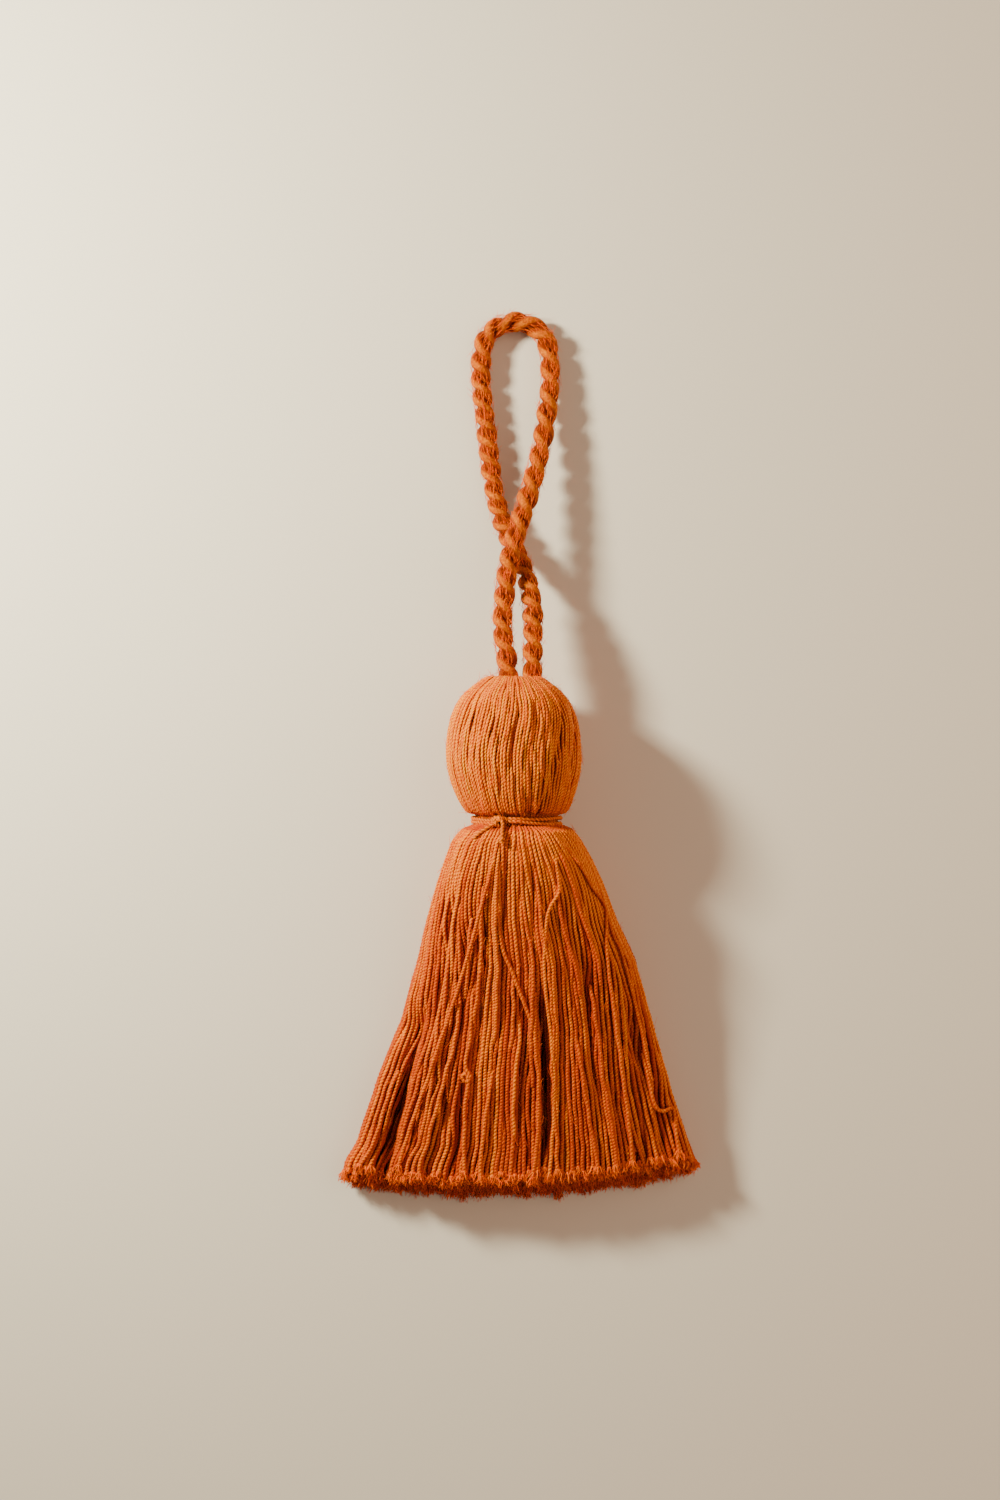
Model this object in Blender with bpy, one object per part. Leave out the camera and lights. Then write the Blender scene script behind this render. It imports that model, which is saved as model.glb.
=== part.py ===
"""A cotton tassel lying flat: a wound head with its skirt of strands, a neck binding and a rope loop.

Row frame: +Y runs along the tassel towards the loop, +Z is up and z = 0 is the surface it lies on.
Sizes are in millimetres and become metres in point().
"""

import bisect
import math
import random
from collections import namedtuple

import bmesh
import bpy
from mathutils import Vector

MM = 0.001
CLEARANCE = 0.3          # between two pieces

# Head: a bulb of yarns turned about an axis along Y
HEAD_Y = 39.0            # middle of the bulb
HEAD_X = -1.05           # its axis
HEAD_Z = 13.0            # less than the radius, so the bulb has a small flat spot
NECK_X = -0.5            # the axis leans this way at the neck
NECK_RADIUS = 8.1
YARN_RIDGES = 42         # raised yarns round the bulb
RIDGE_DEPTH = 0.32

HeadRing = namedtuple("HeadRing", "along radius ridge")
HEAD_RINGS = (           # from the crown, where the rope goes in, to the neck; along is from HEAD_Y
    HeadRing(14.0, 5.6, 0.0),
    HeadRing(13.4, 7.4, 0.5),
    HeadRing(12.0, 9.4, 1.0),
    HeadRing(9.6, 11.4, 1.0),
    HeadRing(6.0, 12.9, 1.0),
    HeadRing(1.6, 13.6, 1.0),
    HeadRing(-2.8, 13.6, 1.0),
    HeadRing(-7.0, 12.7, 1.0),
    HeadRing(-10.2, 11.2, 1.0),
    HeadRing(-12.2, 9.6, 0.8),
    HeadRing(-12.9, NECK_RADIUS, 0.0),
    HeadRing(-15.1, NECK_RADIUS, 0.0),
)

# Skirt: nested shells of four-sided strands, which spread from the neck to a wide flat end
SkirtSection = namedtuple("SkirtSection", "y centre half_width top base widest sag shell")
SKIRT_SECTIONS = (       # widest: height of the widest point; shell: thickness of one shell
    SkirtSection(24.2, -0.5, 6.9, 19.9, 6.1, 13.0, 1.0, 2.1),
    SkirtSection(22.9, -0.4, 11.7, 24.0, 1.9, 12.8, 1.0, 2.3),
    SkirtSection(20.4, -0.2, 13.8, 24.4, 0.4, 11.8, 1.05, 2.3),
    SkirtSection(12.0, 0.3, 17.1, 22.6, 0.0, 9.4, 1.25, 2.2),
    SkirtSection(-16.0, 1.5, 25.9, 16.2, 0.0, 5.4, 1.7, 2.0),
    SkirtSection(-47.0, 0.55, 36.6, 11.2, 0.0, 3.4, 2.0, 1.8),
)                        # sag: how much deeper the lower half would be if nothing held it up
LAYOUT_SECTION = 4       # the strands are evenly spaced round this section
SHELL_STRANDS = (84, 60, 30)      # outer, middle, inner
STRAND_GAPS = (0.06, 0.14, 0.16, 0.2, 0.26, 0.3)     # between neighbours, at each section
SHELL_GAPS = (0.1, 0.3, 0.4, 0.5, 0.55, 0.45)         # between shells, at each section
STRAND_TAPER = 0.17               # share that each strand's outer face narrows by, on either side
RAISE_JITTER = 0.55               # how far an upper strand may lie below its neighbours
SWAY = 0.8                        # sideways wander, as a share of that narrowing
SWAY_SECTIONS = (3, 4, 5)         # where the strands wander

# Where the outer strands part into locks: place round the section from the top, clockwise as
# seen from the cut end, then how wide the parting is at each section
Parting = namedtuple("Parting", "place widths")
PARTINGS = (
    Parting(0.030, (0.0, 0.0, 0.0, 0.2, 1.1, 1.2)),
    Parting(0.160, (0.0, 0.0, 0.0, 0.0, 0.3, 1.0)),
    Parting(0.225, (0.0, 0.0, 0.0, 0.0, 0.2, 0.9)),
    Parting(0.790, (0.0, 0.0, 0.0, 0.1, 1.0, 2.6)),
    Parting(0.880, (0.0, 0.0, 0.0, 0.0, 0.4, 1.6)),
    Parting(0.925, (0.0, 0.0, 0.0, 0.1, 0.7, 1.2)),
)

# Cut end: a shallow bow, with the upper strands cut shorter
CUT_Y = -52.61
CUT_BOW = 0.0031                  # per mm, of the squared distance from CUT_X
CUT_X = -5.0
CUT_SLANT = 0.56                  # mm shorter for each mm of height
CUT_JITTER = 0.55

# Neck binding: two wraps of yarn, a knot and two tails
BINDING_Y = 25.05
WRAP_RADIUS = 0.48
BINDING_INNER = NECK_RADIUS + CLEARANCE
BINDING_STEPS = 48
WRAP_CORNERS = (-20, 40, 100)     # degrees round a wrap, from its back towards its outer side
KNOT_ANGLE = math.radians(-22.0)  # from the top, towards -X
KNOT_SIZE = (1.5, 1.15, 0.75)     # half length round the neck, along it, and outwards
KNOT_RISE = 1.7 * WRAP_RADIUS     # the knot's middle, out from the inside of the wraps
TAIL_WIDTH = 0.8
TAIL_ROOT = (0.55, 0.1)           # sideways and outward, from the middle of the knot
TAILS = (                         # each: sideways, along the tassel and outward, from its root
    ((0.0, 0.0, 0.0), (-0.6, -1.0, 1.1), (-1.7, -2.1, 2.6), (-2.9, -3.3, 2.9)),
    ((0.9, 0.0, 0.0), (1.1, -1.0, 1.1), (1.2, -2.1, 2.6), (1.25, -3.9, 3.0)),
)

# Hanging loop: a three-strand rope, from the crown round and back to it
ROPE_RADIUS = 2.05
ROPE_STRANDS = 3
ROPE_VALLEY = 1.42                # radius in the grooves between the strands
ROPE_SHOULDER = math.radians(24)  # half the width of a strand's rounded back
LAY_LENGTH = 10.4                 # one full turn of the strands
STEPS_PER_LAY = 12
RoutePoint = namedtuple("RoutePoint", "x y z")
ROPE_ROUTE = tuple(RoutePoint(*row) for row in (
    (-2.1, 53.3, 13.0), (-2.4, 57.0, 13.0), (-3.1, 61.0, 12.7), (-3.3, 65.1, 12.2),
    (-3.0, 69.2, 11.6), (-2.6, 73.2, 11.0), (-2.0, 77.0, 10.4), (-1.0, 81.3, 9.6),
    (0.4, 85.6, 8.6), (2.9, 93.9, 6.6), (4.9, 102.3, 4.8), (6.1, 110.6, 3.3),
    (6.45, 115.2, 2.7), (6.3, 119.9, 2.35), (5.4, 123.4, 2.2), (2.9, 126.0, 2.1),
    (-0.65, 126.95, 2.1), (-4.2, 126.0, 2.1), (-6.7, 123.4, 2.1), (-7.65, 119.9, 2.1),
    (-7.75, 115.2, 2.1), (-7.3, 110.6, 2.1), (-6.4, 102.7, 2.1), (-5.4, 94.5, 2.1),
    (-4.6, 90.3, 2.2), (-3.3, 85.7, 2.8), (-1.3, 81.0, 4.1), (0.5, 77.1, 5.8),
    (1.8, 73.0, 8.0), (2.5, 69.2, 9.9), (2.8, 65.1, 11.4), (2.8, 61.0, 12.5),
    (2.7, 57.0, 13.0), (2.6, 53.3, 13.0),
))

SEED = 7
SECTION_SAMPLES = 360

COTTON_HEAD = (0.78, 0.26, 0.045, 1.0)
COTTON_BINDING = (0.70, 0.20, 0.035, 1.0)
COTTON_ROPE = (0.52, 0.13, 0.022, 1.0)
COTTON_ROUGHNESS = 0.85


def point(x, y, z):
    """A place given in millimetres, in metres."""
    return Vector((x, y, z)) * MM


def clear_scene():
    for obj in list(bpy.data.objects):
        bpy.data.objects.remove(obj, do_unlink=True)


def make_material(name, colour):
    material = bpy.data.materials.new(name)
    material.use_nodes = True
    shader = material.node_tree.nodes["Principled BSDF"]
    shader.inputs["Base Color"].default_value = colour
    shader.inputs["Roughness"].default_value = COTTON_ROUGHNESS
    shader.inputs["Metallic"].default_value = 0.0
    return material


def add_object(name, bm, material):
    bmesh.ops.recalc_face_normals(bm, faces=bm.faces)
    mesh = bpy.data.meshes.new(name)
    bm.to_mesh(mesh)
    bm.free()
    obj = bpy.data.objects.new(name, mesh)
    bpy.context.collection.objects.link(obj)
    obj.data.materials.append(material)
    return obj


def unite(obj, helper):
    """Fuse a helper solid to an object, as one body."""
    helper.hide_render = True
    helper.display_type = "WIRE"
    modifier = obj.modifiers.new("fuse_" + helper.name, "BOOLEAN")
    modifier.operation = "UNION"
    modifier.solver = "EXACT"
    modifier.object = helper


def loft(bm, rings, closed=False):
    """Join rings of points, in order, into one closed skin of quads with flat ends."""
    verts = [[bm.verts.new(place) for place in ring] for ring in rings]
    count = len(verts[0])
    spans = list(zip(verts, verts[1:]))
    if closed:
        spans.append((verts[-1], verts[0]))
    for low, high in spans:
        for i in range(count):
            j = (i + 1) % count
            bm.faces.new((low[i], low[j], high[j], high[i]))
    if not closed:
        bm.faces.new(list(reversed(verts[0])))
        bm.faces.new(verts[-1])


def running_lengths(points):
    """How far along a line each of its points lies."""
    lengths = [0.0]
    for a, b in zip(points, points[1:]):
        lengths.append(lengths[-1] + (b - a).length)
    return lengths


# ---- head ----

def head_ring(row):
    """One ridged ring of the bulb, flattened where it meets the surface."""
    span = HEAD_RINGS[0].along - HEAD_RINGS[-1].along
    lean = (HEAD_RINGS[0].along - row.along) / span
    centre_x = HEAD_X + (NECK_X - HEAD_X) * lean ** 2
    steps = 2 * YARN_RIDGES
    ring = []
    for i in range(steps):
        angle = 2.0 * math.pi * i / steps
        groove = RIDGE_DEPTH * row.ridge if i % 2 else 0.0
        radius = row.radius - groove
        height = max(HEAD_Z + radius * math.cos(angle), 0.0)
        ring.append(point(centre_x + radius * math.sin(angle), HEAD_Y + row.along, height))
    return ring


def make_head(material):
    bm = bmesh.new()
    loft(bm, [head_ring(row) for row in HEAD_RINGS])
    return add_object("head_and_skirt", bm, material)


# ---- skirt ----

def section_point(section, inset, angle):
    """A point on the section's outline, inset by a distance; the angle is from the top."""
    side, up = math.sin(angle), math.cos(angle)
    x = section.centre + (section.half_width - inset) * side
    middle = 0.5 * (section.top + section.base)
    depth_share = inset / (middle - section.base)
    widest = section.widest + (middle - section.widest) * depth_share
    if up >= 0.0:
        return Vector((x, widest + (section.top - widest - inset) * up))
    below = section.sag * (widest - section.base) - inset
    return Vector((x, max(widest + below * up, section.base + inset)))


def outline_lengths(section):
    """How far round a section's outline each of the evenly spaced angles lies."""
    return running_lengths([section_point(section, 0.0, 2.0 * math.pi * i / SECTION_SAMPLES)
                            for i in range(SECTION_SAMPLES + 1)])


def angle_at(share, lengths):
    """The angle from the top at a share of the way round an outline."""
    target = (share % 1.0) * lengths[-1]
    sample = bisect.bisect_right(lengths, target) - 1
    part = (target - lengths[sample]) / (lengths[sample + 1] - lengths[sample])
    return 2.0 * math.pi * (sample + part) / SECTION_SAMPLES


def boundaries(count, level, length, partings):
    """Where each strand starts and ends round a section, and its gap, as shares of the length."""
    gap = 0.5 * STRAND_GAPS[level] / length
    stops = [(round(parting.place * count), 0.5 * parting.widths[level] / length)
             for parting in sorted(partings, key=lambda parting: parting.place)]
    stops = stops or [(0, 0.0)]
    first, half = stops[0]
    stops.append((first + count, half))
    edges = []
    for (low, after), (high, before) in zip(stops, stops[1:]):
        start = low / count + after
        width = (high / count - before - start) / (high - low)
        edges += [(start + i * width, start + (i + 1) * width, gap) for i in range(high - low)]
    return edges


def cut_line(x, height):
    """How far along Y a strand reaches at the cut end."""
    return CUT_Y + CUT_BOW * (x - CUT_X) ** 2 + CUT_SLANT * height


def strand_rings(shell, edges, layout, draw):
    """The four-cornered sections of one strand, from its root to its cut end."""
    sunk = draw.uniform(0.0, RAISE_JITTER)
    longer = draw.uniform(-CUT_JITTER, CUT_JITTER)
    rings = []
    for level, section in enumerate(SKIRT_SECTIONS):
        start, end, gap = edges[level]
        outside = shell * section.shell
        inside = outside + section.shell - SHELL_GAPS[level]
        taper = STRAND_TAPER * (end - start)
        sway = draw.uniform(-SWAY, SWAY) * taper if level in SWAY_SECTIONS else 0.0
        outer = [angle_at(share, layout) for share in (start + gap + taper + sway, end - gap - taper + sway)]
        inner = [angle_at(share, layout) for share in (end - gap, start + gap)]
        corners = [section_point(section, outside, angle) for angle in outer]
        corners += [section_point(section, inside, angle) for angle in inner]
        if shell == 0 and level in SWAY_SECTIONS:
            for corner, angle in zip(corners, outer):
                corner.y -= sunk * max(math.cos(angle), 0.0)
        rings.append([Vector((corner.x, section.y, corner.y)) for corner in corners])
    before, last = rings[-2], rings[-1]
    for corner in range(4):
        start, end = before[corner], last[corner]
        reach = (cut_line(end.x, end.z) + longer - start.y) / (end.y - start.y)
        last[corner] = start.lerp(end, reach)
        last[corner].z = max(last[corner].z, 0.0)
    return [[point(*place) for place in ring] for ring in rings]


def make_strands():
    """All the strands as one helper, each standing apart from the others."""
    draw = random.Random(SEED)
    lengths = [outline_lengths(section) for section in SKIRT_SECTIONS]
    layout = lengths[LAYOUT_SECTION]
    bm = bmesh.new()
    for shell, count in enumerate(SHELL_STRANDS):
        partings = PARTINGS if shell == 0 else ()
        levels = [boundaries(count, level, lengths[level][-1], partings)
                  for level in range(len(SKIRT_SECTIONS))]
        for edges in zip(*levels):
            loft(bm, strand_rings(shell, edges, layout, draw))
    return bm


# ---- neck binding ----

def binding_frame(angle):
    """A point's outward and sideways directions round the neck, measured from the top."""
    outward = Vector((math.sin(angle), 0.0, math.cos(angle)))
    sideways = Vector((math.cos(angle), 0.0, -math.sin(angle)))
    return outward, sideways


def wrap_section():
    """Two yarns side by side: distances along the neck and out from the inside of the wraps."""
    section = [(1.5 * WRAP_RADIUS, 0.0), (-1.5 * WRAP_RADIUS, 0.0)]
    for wrap in (-1, 1):
        for turn in sorted(wrap * degrees for degrees in WRAP_CORNERS):
            angle = math.radians(turn)
            along = WRAP_RADIUS * (wrap + math.sin(angle))
            section.append((along, WRAP_RADIUS * (1.0 + math.cos(angle))))
    return section


def make_binding(material):
    bm = bmesh.new()
    rings = []
    for i in range(BINDING_STEPS):
        outward, _ = binding_frame(2.0 * math.pi * i / BINDING_STEPS)
        ring = []
        for along, out in wrap_section():
            place = Vector((NECK_X, BINDING_Y + along, HEAD_Z)) + outward * (BINDING_INNER + out)
            ring.append(point(*place))
        rings.append(ring)
    loft(bm, rings, closed=True)
    return add_object("neck_binding", bm, material)


def knot_place(sideways_by, along, out):
    """A place near the knot: sideways and outward of the binding's face, and along the neck."""
    outward, sideways = binding_frame(KNOT_ANGLE)
    middle = Vector((NECK_X, BINDING_Y, HEAD_Z))
    middle += outward * (BINDING_INNER + KNOT_RISE + out)
    middle += sideways * sideways_by
    middle.y += along
    return middle


def make_knot():
    """The knot, a rounded lump that rises from the wraps."""
    bm = bmesh.new()
    bmesh.ops.create_icosphere(bm, subdivisions=2, radius=1.0)
    outward, sideways = binding_frame(KNOT_ANGLE)
    half_length, half_along, half_out = KNOT_SIZE
    middle = knot_place(0.0, 0.0, 0.1)
    for vert in bm.verts:
        local = vert.co.copy()
        place = middle + sideways * local.x * half_length + outward * local.z * half_out
        place.y += local.y * half_along
        vert.co = point(*place)
    return bm


def make_tail(stations):
    """One free end of the binding yarn, four-sided, lying down over the skirt's shoulder."""
    bm = bmesh.new()
    outward, sideways = binding_frame(KNOT_ANGLE)
    half = 0.5 * TAIL_WIDTH
    rings = []
    for side, along, out in stations:
        middle = knot_place(side - TAIL_ROOT[0], along, out + TAIL_ROOT[1])
        ring = [middle + sideways * a * half + outward * b * half
                for a, b in ((-1, -1), (1, -1), (1, 1), (-1, 1))]
        rings.append([point(*place) for place in ring])
    loft(bm, rings)
    return bm


# ---- hanging loop ----

def smooth_route(route, step):
    """Evenly spaced points on a smooth curve through the route's own points."""
    knots = [Vector(row) for row in route]
    knots = [2.0 * knots[0] - knots[1]] + knots + [2.0 * knots[-1] - knots[-2]]
    fine = []
    for a, b, c, d in zip(knots, knots[1:], knots[2:], knots[3:]):
        for i in range(24):
            t = i / 24.0
            fine.append(0.5 * (2.0 * b + (c - a) * t + (2.0 * a - 5.0 * b + 4.0 * c - d) * t * t
                               + (3.0 * b - a - 3.0 * c + d) * t ** 3))
    fine.append(knots[-2])
    lengths = running_lengths(fine)
    count = round(lengths[-1] / step)
    points, at = [], 0
    for i in range(count + 1):
        target = lengths[-1] * i / count
        while at < len(fine) - 2 and lengths[at + 1] < target:
            at += 1
        points.append(fine[at].lerp(fine[at + 1], (target - lengths[at]) / (lengths[at + 1] - lengths[at])))
    return points


def rope_section():
    """Angle and radius of the points round the rope: a groove, then a strand's rounded back."""
    section = []
    for strand in range(ROPE_STRANDS):
        groove = 2.0 * math.pi * strand / ROPE_STRANDS
        back = groove + math.pi / ROPE_STRANDS
        section.append((groove, ROPE_VALLEY))
        section.append((back - ROPE_SHOULDER, ROPE_RADIUS))
        section.append((back + ROPE_SHOULDER, ROPE_RADIUS))
    return section


def make_loop(material):
    bm = bmesh.new()
    points = smooth_route(ROPE_ROUTE, LAY_LENGTH / STEPS_PER_LAY)
    axis = Vector((0.0, 1.0, 0.0))
    side = Vector((1.0, 0.0, 0.0))
    rings = []
    for i, middle in enumerate(points):
        ahead = points[min(i + 1, len(points) - 1)] - points[max(i - 1, 0)]
        if i in (0, len(points) - 1):
            ahead = Vector((0.0, ahead.y, 0.0))     # the ends are square to the head's crown
        ahead.normalize()
        side = axis.rotation_difference(ahead) @ side
        axis = ahead
        lift = side.cross(axis)
        twist = 2.0 * math.pi * i / STEPS_PER_LAY
        ring = []
        for angle, radius in rope_section():
            turned = angle + twist
            place = middle + (side * math.cos(turned) + lift * math.sin(turned)) * radius
            ring.append(point(*place))
        rings.append(ring)
    loft(bm, rings)
    return add_object("hanging_loop", bm, material)


def main():
    clear_scene()
    head_cotton = make_material("head_cotton", COTTON_HEAD)
    binding_cotton = make_material("binding_cotton", COTTON_BINDING)
    rope_cotton = make_material("rope_cotton", COTTON_ROPE)
    head = make_head(head_cotton)
    unite(head, add_object("strands_helper", make_strands(), head_cotton))
    binding = make_binding(binding_cotton)
    unite(binding, add_object("knot_helper", make_knot(), binding_cotton))
    for number, stations in enumerate(TAILS):
        unite(binding, add_object(f"tail_helper_{number}", make_tail(stations), binding_cotton))
    make_loop(rope_cotton)


main()
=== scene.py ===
# A burnt-orange cotton tassel lying flat: a loop of laid rope, a ball head of yarn,
# a bound neck and a spread skirt. Sizes are in millimetres unless a note says metres.
import math

import bpy
import numpy as np
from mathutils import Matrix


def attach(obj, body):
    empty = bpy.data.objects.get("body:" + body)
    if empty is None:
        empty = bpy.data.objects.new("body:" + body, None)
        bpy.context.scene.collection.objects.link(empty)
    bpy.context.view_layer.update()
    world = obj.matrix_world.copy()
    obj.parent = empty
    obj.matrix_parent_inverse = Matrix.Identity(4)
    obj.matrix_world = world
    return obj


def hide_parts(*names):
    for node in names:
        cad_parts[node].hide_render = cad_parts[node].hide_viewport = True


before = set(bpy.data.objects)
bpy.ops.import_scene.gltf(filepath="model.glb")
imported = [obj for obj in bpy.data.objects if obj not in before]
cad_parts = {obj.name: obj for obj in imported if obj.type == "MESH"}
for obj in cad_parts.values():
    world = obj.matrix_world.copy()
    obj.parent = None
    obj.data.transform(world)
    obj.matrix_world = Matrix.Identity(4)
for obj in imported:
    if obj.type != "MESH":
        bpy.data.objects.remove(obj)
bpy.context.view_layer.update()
mm = 0.001
fullTurn = 2 * math.pi
print("frame loaded:", ", ".join(sorted(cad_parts)))

# straight above the head; the clip distances are in metres
cameraView = {"place": (-3.8, 39.0, 430.0), "lens": 50.0, "sensor": 36.0, "clip": (0.01, 20)}


def addObject(name, data):
    thing = bpy.data.objects.new(name, data)
    bpy.context.scene.collection.objects.link(thing)
    return thing


def makeCamera(view):
    data = bpy.data.cameras.new("overhead")
    data.sensor_fit = "VERTICAL"
    data.sensor_height = view["sensor"]
    data.lens = view["lens"]
    data.clip_start, data.clip_end = view["clip"]
    camera = addObject("overhead", data)
    camera.location = [mm * value for value in view["place"]]
    bpy.context.scene.camera = camera


makeCamera(cameraView)


def addNode(tree, kind, props=None, values=None, links=None):
    node = tree.nodes.new(kind)
    for name, value in (props or {}).items():
        setattr(node, name, value)
    for key, value in (values or {}).items():
        node.inputs[key].default_value = value
    for key, source in (links or {}).items():
        if hasattr(source, "outputs"):  # a node stands for its first output
            source = source.outputs[0]
        tree.links.new(source, node.inputs[key])
    return node


def linearColour(hexText):
    shares = [int(hexText[i:i + 2], 16) / 255 for i in (0, 2, 4)]
    return [s / 12.92 if s <= 0.04045 else ((s + 0.055) / 1.055) ** 2.4 for s in shares] + [1.0]


def runningLength(points):
    return np.concatenate([[0], np.cumsum(np.linalg.norm(np.diff(points, axis=0), axis=1))])


def unit(vectors):
    return vectors / np.linalg.norm(vectors, axis=-1, keepdims=True)


def fromTable(places, table):
    # the value at each place, from rows of a place and its value
    return np.interp(places, *np.array(table).T)


def waves(turned, lengths, chance):
    # waves of random sizes and starts; turned / length is a wave's angle in radians
    return sum(chance.uniform(0.3, 1.0) * np.sin(turned / length + chance.uniform(0, fullTurn))
               for length in lengths)


def pushApart(across, depth, wholeTurn, ring, room, strength):
    # how far the yarns of a bundle that have less than their room move, across it and in depth
    gap = across[:, None] - across[None, :]
    gap -= wholeTurn * np.round(gap / wholeTurn)
    dx, dz = gap * ring, depth[:, None] - depth[None, :]
    apart = np.sqrt(dx * dx + dz * dz) + 1e-6
    push = np.clip(room - apart, 0, None) / apart * strength
    np.fill_diagonal(push, 0)
    return (dx * push).sum(1), (dz * push).sum(1)


def smoothLine(points, step):
    # a curve through the points, then points on it at about the given step
    points = np.asarray(points, float)
    ends = np.vstack([2 * points[0] - points[1], points, 2 * points[-1] - points[-2]])
    t = np.linspace(0, 1, 24, endpoint=False)[:, None]
    fine = [0.5 * (2 * b + (c - a) * t + (2 * a - 5 * b + 4 * c - d) * t ** 2
                   + (3 * b - a - 3 * c + d) * t ** 3)
            for a, b, c, d in zip(ends, ends[1:], ends[2:], ends[3:])]
    fine = np.vstack(fine + [points[-1:]])
    run = runningLength(fine)
    even = np.linspace(0, run[-1], max(2, round(run[-1] / step) + 1))
    return np.column_stack([np.interp(even, run, column) for column in fine.T])


def smoothRows(values, spread):
    # evens out wobbles from one row to the next; the first and last rows stay
    reach = int(3 * spread)
    weights = np.exp(-0.5 * (np.arange(-reach, reach + 1) / spread) ** 2)
    padded = np.concatenate([2 * values[:1] - values[reach:0:-1], values,
                             2 * values[-1:] - values[-2:-reach - 2:-1]])
    return sum(w * padded[i:i + len(values)] for i, w in enumerate(weights / weights.sum()))


def makeSweepTree():
    # a line of points becomes a plied yarn: a lobed ring swept along it and twisted
    tree = bpy.data.node_groups.new("pliedYarn", "GeometryNodeTree")
    for name, kind, value in (("Lines", "NodeSocketGeometry", None), ("Sides", "NodeSocketInt", 6),
                              ("Plies", "NodeSocketInt", 2), ("Ply Depth", "NodeSocketFloat", 0.2),
                              ("Ring Step", "NodeSocketFloat", 0.00037),
                              ("Cotton", "NodeSocketMaterial", None)):
        socket = tree.interface.new_socket(name, in_out="INPUT", socket_type=kind)
        if value is not None:
            socket.default_value = value
    tree.interface.new_socket("Yarn", in_out="OUTPUT", socket_type="NodeSocketGeometry")
    given = addNode(tree, "NodeGroupInput").outputs
    line = addNode(tree, "GeometryNodeMeshToCurve", links={"Mesh": given["Lines"]})
    line = addNode(tree, "GeometryNodeResampleCurve", {"mode": "LENGTH"},
                   links={"Curve": line, "Length": given["Ring Step"]})
    along = addNode(tree, "GeometryNodeCaptureAttribute", links={0: line})
    along.capture_items.new("FLOAT", "along")
    tree.links.new(addNode(tree, "GeometryNodeSplineParameter").outputs["Length"], along.inputs[1])
    twist = addNode(tree, "GeometryNodeInputNamedAttribute", values={"Name": "plyTwist"})
    line = addNode(tree, "GeometryNodeSetCurveTilt",
                   links={"Curve": along, "Tilt": twist})
    ring = addNode(tree, "GeometryNodeCurvePrimitiveCircle", {"mode": "RADIUS"}, {"Radius": 1.0},
                   {"Resolution": given["Sides"]})
    around = addNode(tree, "GeometryNodeCaptureAttribute", links={0: ring})
    around.capture_items.new("VECTOR", "around")
    tree.links.new(addNode(tree, "GeometryNodeInputPosition").outputs[0], around.inputs[1])
    sideways = addNode(tree, "ShaderNodeSeparateXYZ", links={0: around.outputs[1]})
    angle = addNode(tree, "ShaderNodeMath", {"operation": "ARCTAN2"},
                    links={0: sideways.outputs[1], 1: sideways})
    lobes = addNode(tree, "ShaderNodeMath", {"operation": "MULTIPLY"},
                    links={0: angle, 1: given["Plies"]})
    wave = addNode(tree, "ShaderNodeMath", {"operation": "COSINE"}, links={0: lobes})
    reach = addNode(tree, "ShaderNodeMath", {"operation": "MULTIPLY_ADD"}, {2: 1.0},
                    {0: wave, 1: given["Ply Depth"]})
    outline = addNode(tree, "ShaderNodeVectorMath", {"operation": "SCALE"},
                      links={0: around.outputs[1], "Scale": reach})
    ring = addNode(tree, "GeometryNodeSetPosition",
                   links={"Geometry": around, "Position": outline})
    size = addNode(tree, "GeometryNodeInputNamedAttribute", values={"Name": "yarnRadius"})
    yarn = addNode(tree, "GeometryNodeCurveToMesh", values={"Fill Caps": True},
                   links={"Curve": line, "Profile Curve": ring, "Scale": size})
    place = addNode(tree, "ShaderNodeCombineXYZ",
                    links={0: sideways, 1: sideways.outputs[1], 2: along.outputs[1]})
    yarn = addNode(tree, "GeometryNodeStoreNamedAttribute", {"data_type": "FLOAT_VECTOR"},
                   {"Name": "yarnPlace"}, {"Geometry": yarn, "Value": place})
    yarn = addNode(tree, "GeometryNodeSetShadeSmooth", links={0: yarn})
    yarn = addNode(tree, "GeometryNodeRealizeInstances", links={0: yarn})
    yarn = addNode(tree, "GeometryNodeSetMaterial", links={0: yarn, "Material": given["Cotton"]})
    addNode(tree, "NodeGroupOutput", links={0: yarn})
    return tree


sweepTree = makeSweepTree()


# how unlike the yarns are twisted: the spread of their turns, and the size in radians and the
# lengths of a slow swing
twisting = {"turnSpread": (0.85, 1.2), "swing": 0.5, "swingLength": (9, 21)}


def plyTwists(lines, turnLength, chance):
    # how far each yarn has turned at each of its points
    twists = []
    for points in lines:
        run = fullTurn * runningLength(points)
        own = turnLength * chance.uniform(*twisting["turnSpread"])
        phase = run / chance.uniform(*twisting["swingLength"]) + chance.uniform(0, fullTurn)
        twists.append(run / own + twisting["swing"] * np.sin(phase) + chance.uniform(0, fullTurn))
    return np.concatenate(twists)


def readMesh(data, label, size=1, kind=float):
    values = np.zeros(size * len(data), kind)
    data.foreach_get(label, values)
    return values


def storeOnPoints(mesh, label, kind, values):
    data = mesh.attributes.new(label, kind, "POINT").data
    data.foreach_set("value" if kind == "FLOAT" else "vector", np.ravel(values))


# the part of the map left free at its ends, where a yarn begins in its strip and how much of it
# a turn takes, and how many yarns a piece may have before its strips are too fine
stripMap = {"margin": 0.005, "begins": 0.05, "wide": 0.72, "mostYarns": 200}


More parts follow.
